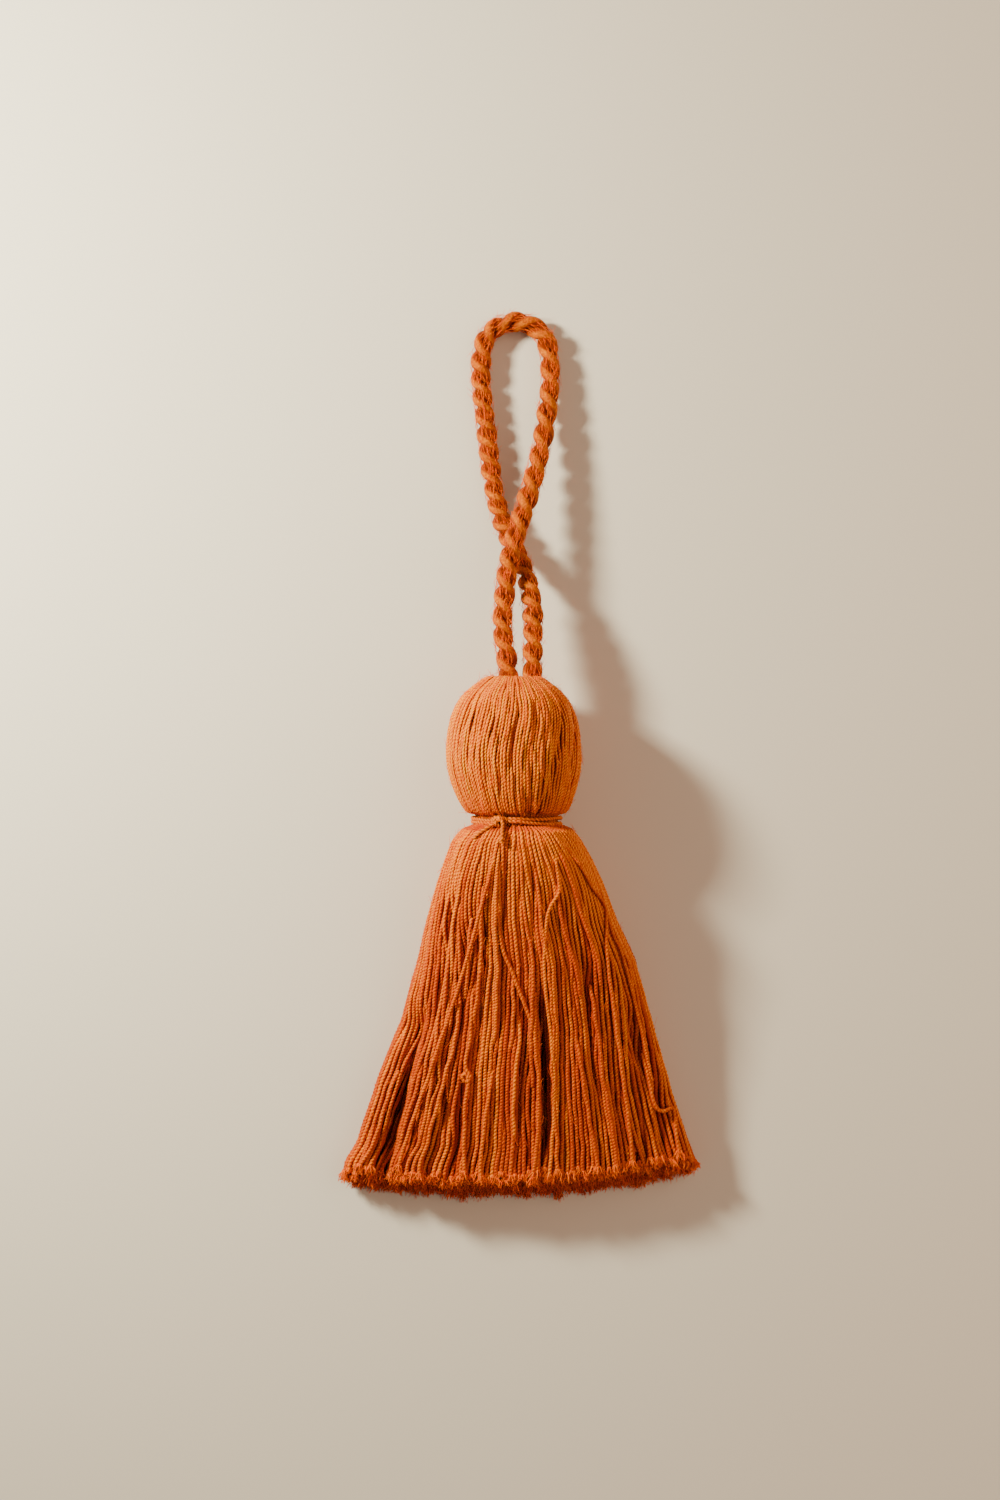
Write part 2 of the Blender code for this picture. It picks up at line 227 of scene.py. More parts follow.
def mapStrips(mesh, count):
    # a UV map with one strip for each yarn, along it and round it, closed at its seam
    place = readMesh(mesh.attributes["yarnPlace"].data, "vector", 3).reshape(-1, 3)
    number = np.round(readMesh(mesh.attributes["yarnNumber"].data, "value")).astype(int)
    longest = np.zeros(count)
    np.maximum.at(longest, number, place[:, 2])
    corner = readMesh(mesh.loops, "vertex_index", kind=np.int32)
    first = readMesh(mesh.polygons, "loop_start", kind=np.int32)
    sides = np.diff(np.append(first, len(corner)))
    around = (np.arctan2(place[:, 1], place[:, 0]) / fullTurn % 1)[corner]
    most = np.repeat(np.maximum.reduceat(around, first), sides)
    around = np.where(most - around > 0.5, around + 1, around)
    along = (place[:, 2] / np.maximum(longest[number], 1e-6))[corner]
    along = stripMap["margin"] + (1 - 2 * stripMap["margin"]) * along
    strip = (number[corner] + stripMap["begins"] + stripMap["wide"] * around) / count
    layer = mesh.uv_layers.new(name="OFBake")
    layer.data.foreach_set("uv", np.column_stack([along, strip]).ravel())


def sweepYarns(name, yarns, form, cotton, seed=1, outward=None):
    # yarns is a list of (points, radii, shade); they come out as one joined mesh. outward gives
    # the way out of the bundle at each point, so that painted shade can darken the yarns between
    # each other
    lines, radii, shades = zip(*yarns)
    counts = [len(points) for points in lines]
    starts = np.concatenate([[0], np.cumsum(counts)[:-1]])
    edges = [(first + i, first + i + 1) for first, count in zip(starts, counts)
             for i in range(count - 1)]
    path = bpy.data.meshes.new(name + "Lines")
    path.from_pydata(np.concatenate(lines) * mm, edges, [])
    storeOnPoints(path, "yarnRadius", "FLOAT", np.concatenate(radii) * mm)
    storeOnPoints(path, "plyTwist", "FLOAT",
                  plyTwists(lines, form["turn"], np.random.default_rng(seed)))
    storeOnPoints(path, "yarnShade", "FLOAT",
                  np.concatenate([shade + np.zeros(n) for shade, n in zip(shades, counts)]))
    if outward:
        storeOnPoints(path, "yarnOutward", "FLOAT_VECTOR", np.concatenate([*map(outward, lines)]))
    storeOnPoints(path, "yarnNumber", "FLOAT", np.repeat(np.arange(float(len(yarns))), counts))
    holder = addObject(name + "Lines", path)
    sweep = holder.modifiers.new("ply", "NODES")
    sweep.node_group = sweepTree
    for socket in sweepTree.interface.items_tree:
        if socket.in_out == "INPUT" and socket.name in form:
            sweep[socket.identifier] = form[socket.name]
        if socket.name == "Cotton":
            sweep[socket.identifier] = cotton
    seen = holder.evaluated_get(bpy.context.evaluated_depsgraph_get())
    mesh = bpy.data.meshes.new_from_object(seen)
    bpy.data.objects.remove(holder)
    bpy.data.meshes.remove(path)
    mesh.name = name
    piece = addObject(name, mesh)
    if len(yarns) < stripMap["mostYarns"]:
        mapStrips(mesh, len(yarns))
    corners = readMesh(mesh.polygons, "loop_total", kind=np.int32)
    print(f"{name}: {len(yarns)} yarns, {int((corners - 2).sum())} triangles")
    return piece


# what all the cottons here share
cottonLook = {
    # noise scales, per metre: fibres about 0.12 mm apart and eight times longer than they are
    # wide, a fuzz of 0.4 mm grains, and dye that is uneven over some 6 mm
    "fibreScale": 8000.0, "fibreStretch": (0.0005, 0.0005, 0.125), "fuzzScale": 2300.0,
    "mottleScale": 170.0,
    # how much each adds to a yarn's tone, what is taken off it, and where the three colours stand
    "fibreTone": 0.42, "mottleTone": 0.16, "fuzzTone": 0.56, "toneOff": 0.07,
    "stops": (0.36, 0.5, 0.66),
    # over what range the painted shade in a crease between plies gives way to a ply's back, and
    # that on a flank to its top
    "creaseShadeEdge": (-0.9, 0.7), "flankShadeEdge": (0.25, 0.95),
    "fibreHeight": 0.3, "fuzzHeight": 0.6, "bump": 0.8,
    "roughness": 0.52, "specular": 0.3, "specularTint": "FFC400",
    "sheen": 0.08, "sheenRoughness": 0.5, "sheenTint": "FFA000",
}
# the crease colour is the painted shade in the gaps, and colours go from the dark yarns to the
# light ones. The groove and flank shade say how far that painted shade takes over between the plies
# and beside the next yarn. bumpHeight is in metres
cottons = {
    "softCottonRopeLaid": {  # softly spun: fibres and fuzz, and hardly any plies
        "creaseShade": "761E04", "colours": ("943C00", "B85400", "E28200"), "plies": 1,
        "groove": 0.2, "flankShade": 0.9, "bumpHeight": 0.00008},
    "mercerisedCottonTwoPly": {  # glossy plies, with red-brown painted shade in the gaps
        "creaseShade": "AC2C0E", "colours": ("AE3E08", "D45C02", "F88C00"), "plies": 2,
        "groove": 0.6, "flankShade": 0.86, "bumpHeight": 0.00012},
    "mercerisedCottonTwoPlyHeadLit": {  # the same, painted lighter for the stronger light on the head
        "creaseShade": "96240C", "colours": ("DC6406", "FC8402", "FFA400"), "plies": 2,
        "groove": 0.6, "flankShade": 0.88, "bumpHeight": 0.00012},
    "mercerisedCottonBindingShaded": {  # the same, painted darker for the head's shadow on it, with the darkest painted shade in its gaps
        "creaseShade": "5C0E08", "colours": ("AC440A", "CC5A06", "EA7A00"), "plies": 2,
        "groove": 0.5, "flankShade": 0.85, "bumpHeight": 0.00012},
    "looseCottonFibre": {  # single hairs, lit through
        "creaseShade": "F0541A", "colours": ("EE4C0C", "FF5E08", "FF7608"), "plies": 1,
        "groove": 0.0, "flankShade": 0.0, "bumpHeight": 0.00012},
}


def pliedCotton(name):
    # Mercerised cotton yarn, spun and plied: a soft satin back on each ply, painted shade in the
    # creases between them and on the flanks beside the next yarn, fine fibre lines along them, a
    # grainy fuzz, and yarns that differ from one another.
    form, look = cottons[name], cottonLook
    cotton = bpy.data.materials.new(name)
    cotton.use_nodes = True
    tree = cotton.node_tree
    tree.nodes.clear()
    place = addNode(tree, "ShaderNodeAttribute", {"attribute_name": "yarnPlace"}).outputs["Vector"]
    shade = addNode(tree, "ShaderNodeAttribute", {"attribute_name": "yarnShade"})
    parts = addNode(tree, "ShaderNodeSeparateXYZ", links={0: place})
    angle = addNode(tree, "ShaderNodeMath", {"operation": "ARCTAN2"},
                    links={0: parts.outputs[1], 1: parts})
    lobes = addNode(tree, "ShaderNodeMath", {"operation": "MULTIPLY"}, {1: float(form["plies"])},
                    {0: angle})
    back = addNode(tree, "ShaderNodeMath", {"operation": "COSINE"}, links={0: lobes})
    # painted shade in the creases between the plies
    low, high = look["creaseShadeEdge"]
    crest = addNode(tree, "ShaderNodeMapRange", {"interpolation_type": "SMOOTHSTEP"},
                    {"From Min": low, "From Max": high, "To Min": 1.0 - form["groove"]},
                    {"Value": back})
    stretch = addNode(tree, "ShaderNodeVectorMath", {"operation": "MULTIPLY"},
                      {1: look["fibreStretch"]}, {0: place})
    where = addNode(tree, "ShaderNodeTexCoord").outputs["Object"]
    noises = {}
    for noise, vector, detail in (("fibre", stretch, 2.0), ("mottle", where, 3.0),
                                  ("fuzz", where, 2.0)):
        noises[noise] = addNode(tree, "ShaderNodeTexNoise", links={"Vector": vector},
                                values={"Scale": look[noise + "Scale"], "Detail": detail})
    tone = shade.outputs["Fac"]
    for noise in ("fibre", "mottle", "fuzz"):
        tone = addNode(tree, "ShaderNodeMath", {"operation": "MULTIPLY_ADD"},
                       {1: look[noise + "Tone"]}, {0: noises[noise], 2: tone})
    tone = addNode(tree, "ShaderNodeMath", {"operation": "SUBTRACT"}, {1: look["toneOff"]},
                   {0: tone})
    ramp = addNode(tree, "ShaderNodeValToRGB", links={"Fac": tone})
    dark, middle, light = look["stops"]
    ramp.color_ramp.elements[0].position = dark
    ramp.color_ramp.elements[0].color = linearColour(form["colours"][0])
    ramp.color_ramp.elements[1].position = light
    ramp.color_ramp.elements[1].color = linearColour(form["colours"][2])
    ramp.color_ramp.elements.new(middle).color = linearColour(form["colours"][1])
    # painted shade: the flanks that face the next yarn are darker, as the gap between yarns is in
    # shade
    outward = addNode(tree, "ShaderNodeAttribute", {"attribute_name": "yarnOutward"})
    faces = addNode(tree, "ShaderNodeNewGeometry")
    facing = addNode(tree, "ShaderNodeVectorMath", {"operation": "DOT_PRODUCT"},
                     links={0: faces.outputs["Normal"], 1: outward.outputs["Vector"]})
    low, high = look["flankShadeEdge"]
    facing = addNode(tree, "ShaderNodeMapRange", {"interpolation_type": "SMOOTHSTEP"},
                     {"From Min": low, "From Max": high, "To Min": 1.0 - form["flankShade"]},
                     {"Value": facing.outputs["Value"]})
    crest = addNode(tree, "ShaderNodeMath", {"operation": "MULTIPLY"}, links={0: crest, 1: facing})
    colour = addNode(tree, "ShaderNodeMix", {"data_type": "RGBA"},
                     {"A": linearColour(form["creaseShade"])}, {"Factor": crest, "B": ramp})
    height = crest
    for noise in ("fibre", "fuzz"):
        height = addNode(tree, "ShaderNodeMath", {"operation": "MULTIPLY_ADD"},
                         {1: look[noise + "Height"]}, {0: noises[noise], 2: height})
    bump = addNode(tree, "ShaderNodeBump",
                   values={"Strength": look["bump"], "Distance": form["bumpHeight"]},
                   links={"Height": height})
    surface = addNode(tree, "ShaderNodeBsdfPrincipled",
                      values={"Roughness": look["roughness"],
                              "Specular IOR Level": look["specular"],
                              "Specular Tint": linearColour(look["specularTint"]),
                              "Sheen Weight": look["sheen"],
                              "Sheen Roughness": look["sheenRoughness"],
                              "Sheen Tint": linearColour(look["sheenTint"])},
                      links={"Base Color": colour.outputs["Result"], "Normal": bump})
    addNode(tree, "ShaderNodeOutputMaterial", links={"Surface": surface})
    return cotton


ropeCotton = pliedCotton("softCottonRopeLaid")
skirtCotton = pliedCotton("mercerisedCottonTwoPly")
headLitCotton = pliedCotton("mercerisedCottonTwoPlyHeadLit")
bindingShadedCotton = pliedCotton("mercerisedCottonBindingShaded")
fibreCotton = pliedCotton("looseCottonFibre")
print("cottons spun and dyed")

# the forms that a sweep can take; "turn" is the length in mm in which the plies go round once
fineYarn = {"Sides": 5, "Plies": 2, "Ply Depth": 0.15, "turn": 1.4, "Ring Step": 0.00026}
headYarn = dict(fineYarn, **{"Ply Depth": 0.13})
bindingYarn = dict(fineYarn, Sides=8, turn=1.5)
plainYarn = {"Sides": 5, "Plies": 2, "Ply Depth": 0.0, "turn": 5.6, "Ring Step": 0.0019}
coarseYarn = {"Sides": 4, "Plies": 2, "Ply Depth": 0.0, "turn": 20.0, "Ring Step": 0.004}
looseFibre = {"Sides": 3, "Plies": 1, "Ply Depth": 0.0, "turn": 9.0, "Ring Step": 0.0005}
cutFibre = dict(looseFibre, **{"Ring Step": 0.001})

rope = {
    "route": [  # metres; the same points as the loop's own solid
        (-0.0021, 0.0533, 0.0130), (-0.0024, 0.0570, 0.0130), (-0.0031, 0.0610, 0.0127),
        (-0.0033, 0.0651, 0.0122), (-0.0030, 0.0692, 0.0116), (-0.0026, 0.0732, 0.0110),
        (-0.0020, 0.0770, 0.0104), (-0.0010, 0.0813, 0.0096), (0.0004, 0.0856, 0.0086),
        (0.0029, 0.0939, 0.0066), (0.0049, 0.1023, 0.0048), (0.0061, 0.1106, 0.0033),
        (0.00645, 0.1152, 0.0027), (0.0063, 0.1199, 0.00235), (0.0054, 0.1234, 0.0022),
        (0.0029, 0.1260, 0.0021), (-0.00065, 0.12695, 0.0021), (-0.0042, 0.1260, 0.0021),
        (-0.0067, 0.1234, 0.0021), (-0.00765, 0.1199, 0.0021), (-0.00775, 0.1152, 0.0021),
        (-0.0073, 0.1106, 0.0021), (-0.0064, 0.1027, 0.0021), (-0.0054, 0.0945, 0.0021),
        (-0.0046, 0.0903, 0.0022), (-0.0033, 0.0857, 0.0028), (-0.0013, 0.0810, 0.0041),
        (0.0005, 0.0771, 0.0058), (0.0018, 0.0730, 0.0080), (0.0025, 0.0692, 0.0099),
        (0.0028, 0.0651, 0.0114), (0.0028, 0.0610, 0.0125), (0.0027, 0.0570, 0.0130),
        (0.0026, 0.0533, 0.0130)],
    "ringStep": 0.33, "intoHead": 1.6,
    # share of the way round, and length of one full turn of the two strands there
    "lay": [(0.0, 8.4), (0.16, 8.4), (0.26, 9.2), (0.44, 9.4), (0.54, 7.8), (0.82, 7.2),
            (1.0, 8.0)],
    # a strand is pressed flat where it lies against the other one: how far its middle is out,
    # its half thickness and half width, the yarns that show in it, how deep they stand out and
    # how fast they turn back
    "out": 0.96, "thick": 1.12, "wide": 1.36, "yarns": 10, "yarnDepth": 0.02, "untwist": 1.35,
    # what is uneven in a strand: the mm in which its wave turns one radian, and its size
    "turnUneven": (4.1, 0.12), "sizeUneven": (2.9, 0.06), "sizeFine": (1.1, 0.05),
    "spinUneven": (1.7, 0.6), "depthUneven": (0.55, 0.02),
    "pastMiddle": 0.04,  # how far a strand may reach past the rope's middle
    "aboveTable": 0.03, "toneSpread": 0.04, "sides": 40, "seed": 3,
}


def meshStrand(name, rings, places, shades, outwards, cotton):
    # rings of points joined into a closed tube, with what its material reads
    count, sides = rings.shape[:2]
    corners = np.arange(count * sides).reshape(count, sides)
    near, far = corners[:-1], corners[1:]
    faces = np.stack([near, np.roll(near, -1, 1), np.roll(far, -1, 1), far], -1).reshape(-1, 4)
    faces = faces.tolist() + [corners[0, ::-1].tolist(), corners[-1].tolist()]
    mesh = bpy.data.meshes.new(name)
    mesh.from_pydata((rings.reshape(-1, 3) * mm).tolist(), [], faces)
    for label, kind, values in (("yarnPlace", "FLOAT_VECTOR", places),
                                ("yarnOutward", "FLOAT_VECTOR", outwards),
                                ("yarnShade", "FLOAT", shades)):
        storeOnPoints(mesh, label, kind, values)
    mesh.polygons.foreach_set("use_smooth", [True] * (len(faces) - 2) + [False] * 2)
    mesh.materials.append(cotton)
    print(f"{name}: {2 * sides * count - 4} triangles")
    return addObject(name, mesh)


def layRope(form):
    # two soft strands wound round the route, S-laid; their yarns run almost along the rope
    middle = smoothLine(np.array(form["route"]) / mm, form["ringStep"])
    run = runningLength(middle)
    ahead = unit(np.gradient(middle, axis=0))
    side = np.zeros_like(middle)
    side[0] = (1, 0, 0)
    for i in range(1, len(middle)):  # the side direction is carried along without turning
        kept = side[i - 1] - ahead[i] * np.dot(side[i - 1], ahead[i])
        side[i] = kept / np.linalg.norm(kept)
    lift = np.cross(side, ahead)
    layLength = fromTable(run / run[-1], form["lay"])
    twist = np.concatenate([[0], np.cumsum(fullTurn * np.diff(run) / layLength[1:])])
    chance = np.random.default_rng(form["seed"])

    def uneven(length, size):
        return size * np.sin(run / length + chance.uniform(0, fullTurn))[:, None]

    strands = []
    around = np.arange(form["sides"]) * fullTurn / form["sides"]
    for number in range(2):
        turned = twist[:, None] + math.pi * number + uneven(*form["turnUneven"])
        way = side * np.cos(turned) + lift * np.sin(turned)
        across = lift * np.cos(turned) - side * np.sin(turned)
        swell = 1 + uneven(*form["sizeUneven"]) + uneven(*form["sizeFine"])
        spin = form["yarns"] * (around + form["untwist"] * twist[:, None])
        spin = spin + uneven(*form["spinUneven"])
        flutes = 1 + form["yarnDepth"] * np.cos(spin) + uneven(*form["depthUneven"])
        out = np.maximum(form["out"] + form["thick"] * swell * flutes * np.cos(around),
                         -form["pastMiddle"])
        aside = form["wide"] * swell * flutes * np.sin(around)
        rings = middle[:, None] + way[:, None] * out[..., None]
        rings = rings + across[:, None] * aside[..., None]
        rings[0] -= ahead[0] * form["intoHead"]
        rings[-1] += ahead[-1] * form["intoHead"]
        rings[..., 2] = np.maximum(rings[..., 2], form["aboveTable"])
        along = np.broadcast_to(run[:, None] * mm, spin.shape)
        shade = chance.uniform(-form["toneSpread"], form["toneSpread"])
        strands.append(meshStrand("ropeStrand" + str(number + 1), rings,
                                  np.stack([np.cos(spin), np.sin(spin), along], -1),
                                  np.full(spin.shape, shade),
                                  np.broadcast_to(way[:, None], rings.shape), ropeCotton))
    return middle, strands


ropeMiddle, ropeStrands = layRope(rope)
bpy.ops.object.select_all(action="DESELECT")
for strand in ropeStrands:
    strand.select_set(True)
bpy.context.view_layer.objects.active = ropeStrands[0]
bpy.ops.object.join()
ropeLoop = ropeStrands[0]
ropeLoop.name = "hangingLoopRope"
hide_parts("hanging_loop")
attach(ropeLoop, "root")

skirt = {
    "seed": 11, "lowEnd": -54.0, "nearCut": -46,  # past nearCut, a yarn goes on to the cut
    "flatness": 0.82,  # 1 makes the section round, less makes it flatter on top
    # y, left, right, top, base, the height of the widest place, and how full the underside is
    "stations": [
        (25.6, -8.6, 7.6, 21.1, 4.9, 13.0, 1.0), (24.2, -8.6, 7.6, 21.1, 4.9, 13.0, 1.0),
        (23.0, -11.7, 10.9, 23.8, 2.1, 12.8, 1.0), (20.9, -13.5, 12.6, 24.4, 0.5, 11.9, 1.05),
        (16.9, -15.1, 14.9, 24.0, 0.0, 10.6, 1.15), (12.0, -16.8, 17.2, 22.6, 0.0, 9.4, 1.25),
        (4.6, -18.9, 20.0, 20.8, 0.0, 8.2, 1.35), (-3.6, -20.7, 23.9, 18.9, 0.0, 6.9, 1.5),
        (-16.0, -24.1, 27.5, 16.2, 0.0, 5.4, 1.7), (-24.3, -27.3, 29.6, 14.9, 0.0, 4.9, 1.8),
        (-32.5, -30.2, 32.0, 13.6, 0.0, 4.3, 1.85), (-40.8, -32.9, 34.7, 12.2, 0.0, 3.8, 1.9),
        (-45.0, -35.6, 36.4, 11.5, 0.0, 3.5, 2.0), (-54.0, -37.2, 37.6, 10.6, 0.0, 3.3, 2.0)],
    # y and the yarn's radius there, then y and the room that a yarn takes at the surface
    "radii": [(-54, 0.47), (-20, 0.44), (0, 0.415), (12, 0.39), (20, 0.37), (24.6, 0.34)],
    "room": [(-54, 1.04), (-20, 0.97), (8, 0.87), (18, 0.84), (24.6, 0.8)],
    # the cut: where it is at the middle, its bow, its slant with height and its raggedness
    "cut": {"y": -52.61, "bow": 0.0031, "middle": -5.0, "slant": 0.56, "ragged": 0.55},
    # rows from the neck down: first y, last y and step
    "rows": [(25.6, 22.0, -0.3), (21.9, 17, -0.6), (16.6, -54.5, -1.0)],
    # the yarns at the surface: how uneven their places are, how deep they may start and lie, the
    # extra room at the sides, how they fan out on top, and how they are pushed apart
    "shell": {"count": 214, "jitter": 0.35, "depths": (0, 1.8), "ownDepths": (0, 0.36),
              "sideRoom": 0.25, "fan": 0.055, "fanFrom": 7, "fanOver": 12, "fanDepth": 0.75,
              "fanReach": 0.45, "rounds": 16, "push": 0.24, "rise": 0.035, "smooth": 1.6},
    # of those, the ones that show reach at most this share round and this deep; the others are
    # painted darker, as shade under the ones on top. Neighbours differ in two slow waves of tone:
    # size, turns across and along, start
    "shown": {"share": 0.72, "depth": 0.8, "least": 0.15, "skipRows": 6, "darker": 0.12},
    "tones": [(0.05, 41, 19, 1.3), (0.04, 97, -13, 0)],
    # the layer under them, with every second yarn deeper
    "under": {"count": 150, "rows": 34, "depth": 1.4, "deeper": 0.35, "furrowed": 0.55},
    # the filling, laid out in the section at y and carried up to another y
    "inner": {"spacing": 1.32, "rowHeight": 0.87, "y": -50, "upTo": -28, "sides": 2.1,
              "ends": 1.9, "low": 1.8, "under": 2.1, "above": 0.8, "squeeze": 0.98, "size": 1.1},
    # every yarn: its lowest middle, how its radius and tone vary, and how its cut end opens
    "lowest": 0.54, "radiusSpread": (0.93, 1.07), "toneSpread": 0.07, "opens": (1.06, 1.2),
    # painted light: over the shoulder the yarns are made lighter, more so to the right, for the
    # light the shoulder catches
    "shoulderLight": {"from": -4, "over": 18, "light": 0.19, "perRight": 0.006},
    # furrows where the yarns part: points (x, y), depth and half width
    "partings": [
        ([(-20.0, -12), (-22.4, -20), (-25.2, -34), (-28.4, -52)], 3.4, 1.7),
        ([(3.4, -8), (4.6, -15), (5.3, -24), (5.7, -34), (5.3, -42)], 2.7, 1.0),
        ([(-15.2, -22), (-15.5, -30), (-15.6, -37)], 1.7, 0.7),
        ([(-12.0, -25), (-11.0, -31), (-12.6, -40), (-13.6, -52)], 1.5, 0.6),
        ([(-18.1, -36), (-19.2, -52)], 1.3, 0.6),
        ([(21.5, -14), (25.4, -24.5), (28.6, -33.3), (29.8, -44)], 2.2, 0.9),
        ([(24.6, -35), (26.2, -43), (27.0, -54)], 1.7, 0.7),
        ([(-2.2, 22), (-2.8, 12), (-4.2, 0)], 1.2, 0.6),
        ([(2.6, 18), (2.9, 8), (2.6, -6)], 1.2, 0.6),
        ([(12.5, 0), (14.2, -14), (15.4, -30)], 1.5, 0.7),
        ([(-8.6, 8), (-11.0, -6), (-12.0, -18)], 1.2, 0.7)],
    "finePartings": {"count": 44, "share": 0.9, "begins": (-38, 21), "length": (12, 45),
                     "drift": 0.03, "depth": (0.25, 1.05), "width": (0.35, 0.6)},
    # a parting fades in and out in this length, except at the cut, and pushes yarns aside
    "partingFade": 5, "partingPush": 0.22,
    # single yarns that lie across the others: points (x, y)
    "strays": [
        [(-5.2, 19.0), (-5.8, 14.8), (-8.6, 4.0), (-11.9, -7.7), (-16.0, -20.1), (-20.8, -34.0),
         (-24.3, -44.9), (-26.0, -50.0)],
        [(-4.4, 8.0), (-3.6, 1.0), (-0.6, -7.0), (3.2, -18.0), (4.0, -28.0), (3.9, -40.0),
         (3.2, -50.0)],
        [(7.0, 20.0), (7.3, 16.4), (7.7, 11.4), (6.05, 8.3), (5.2, 4.6), (5.0, -5.8), (6.3, -18.0),
         (7.1, -30.0), (6.4, -42.0), (5.8, -50.0)],
        [(9.0, 20.6), (12.2, 15.8), (14.3, 11.9), (16.9, 8.1), (17.2, 4.6), (17.5, -3.2),
         (19.6, -18.0), (22.0, -36.0), (23.4, -50.0)],
        [(15.2, 12.0), (17.2, 7.3), (18.7, 2.0), (20.6, -2.4), (24.2, -16.0), (27.2, -30.0)],
        [(-9.2, -8.0), (-9.8, -18.0), (-10.6, -24.0), (-9.7, -26.0), (-10.5, -27.3), (-11.5, -26.3),
         (-10.7, -25.5), (-10.1, -27.4), (-10.8, -32.0), (-11.0, -42.0), (-11.2, -50.0)],
        [(25.2, -22.0), (26.6, -30.0), (27.6, -33.2), (29.0, -33.9), (30.8, -33.4), (31.2, -34.4),
         (31.9, -39.0), (33.4, -50.0)]],
    # how far out of the surface each lies, and how much lighter it is
    "strayOut": (0.16, -0.1, 0.16, 0.16, 0.16, 0.16, 0.16),
    "strayLight": (0.02, 0.02, 0.14, 0.02, 0.02, 0.02, 0.02),
    "straySize": 0.97,  # of a yarn's usual radius
    # loose yarns: where they begin, how many go on to the cut, and how the others run
    "loose": {"count": 18, "begins": (-34, 21), "toCut": 0.55, "length": (16, 40), "share": 0.93,
              "out": 0.16, "lean": 0.03, "sway": 0.012, "swayLength": (24, 60)},
    # y and x along the middle of a lighter bundle, then its half width and how much lighter it is
    "bundle": [(-50, 6.4), (-42, 6.9), (-30, 7.5), (-18, 6.9), (-5.8, 5.6), (4.6, 5.9), (16, 8.0)],
    "bundleWidth": 1.3, "bundleLight": 0.15,
}


def skirtSection(y):
    rows = np.array(skirt["stations"])[::-1]
    return [np.interp(y, rows[:, 0], column) for column in rows[:, 1:].T]


quarter = 90  # points in a quarter of a section's outline


def skirtOutline(y):
    # the outline across the skirt at y, from the underside's middle over the left and the top
    left, right, top, base, widest, fullness = skirtSection(y)
    turn = np.linspace(-math.pi, math.pi, 4 * quarter + 1)
    rise, reach = [np.sign(part) * np.abs(part) ** skirt["flatness"]
                   for part in (np.cos(turn), np.sin(turn))]
    x = (left + right) / 2 + (right - left) / 2 * reach
    z = np.where(rise > 0, widest + (top - widest) * rise,
                 np.maximum(widest + fullness * (widest - base) * rise, base))
    along = runningLength(np.column_stack([x, z]))
    outward = np.column_stack([-np.gradient(z), np.gradient(x)])
    outward /= np.linalg.norm(outward, axis=1)[:, None]
    return x, z, along - along[2 * quarter], outward


def skirtWays(points):
    # the way out of the skirt at each place
    ways = []
    for x, y, z in points:
        left, right, top, base, widest = skirtSection(y)[:5]
        tall = top - widest if z > widest else max(widest - base, 0.5)
        ways.append(((x - (left + right) / 2) * (2 / (right - left)) ** 2, 0,
                     (z - widest) / tall ** 2 + 1e-5))  # never quite nothing
    return unit(np.array(ways))


def placeYarns(y, share, depth):
    # a share of the half outline and a depth of the yarn's middle give a place across the skirt
    x, z, along, outward = skirtOutline(y)
    reach = share * along[-1]
    places = [np.interp(reach, along, line) - depth * np.interp(reach, along, way)
              for line, way in ((x, outward[:, 0]), (z, outward[:, 1]))]
    return np.column_stack([places[0], np.full(len(share), y), places[1]])


def skirtFurrows():
    # the named partings and many fine ones that follow the yarns
    chance = np.random.default_rng(skirt["seed"] + 1)
    fine = skirt["finePartings"]
    furrows = [(np.array(line, float)[::-1], depth, width)
               for line, depth, width in skirt["partings"]]
    for number in range(fine["count"]):
        share = chance.uniform(-fine["share"], fine["share"])
        begins, length = chance.uniform(*fine["begins"]), chance.uniform(*fine["length"])
        ys = np.linspace(begins, max(begins - length, skirt["lowEnd"]), 5)
        drift = chance.uniform(-fine["drift"], fine["drift"])
        left, right = skirtSection(ys)[:2]
        xs = (left + right) / 2 + (share + drift * np.arange(5) / 4) * (right - left) / 2
        furrows.append((np.column_stack([xs, ys])[::-1], chance.uniform(*fine["depth"]),
                        chance.uniform(*fine["width"])))
    return furrows


skirtLines = skirtFurrows()


def furrowsAt(x, y):
    # how deep the surface sinks, and how far a yarn is pushed away from a parting
    sunk, aside = np.zeros_like(x), np.zeros_like(x)
    for line, depth, width in skirtLines:
        low, high = line[0, 1], line[-1, 1]
        if low < y < high:
            toCut = low < skirt["lowEnd"] + skirt["partingFade"]
            fade = min(1.0, (y - low) / skirt["partingFade"] + toCut,
                       (high - y) / skirt["partingFade"])
            gap = (x - np.interp(y, line[:, 1], line[:, 0])) / width
            shape = fade * depth * np.exp(-gap ** 2)
            sunk += shape
            aside += skirt["partingPush"] * gap * shape
    return sunk, aside


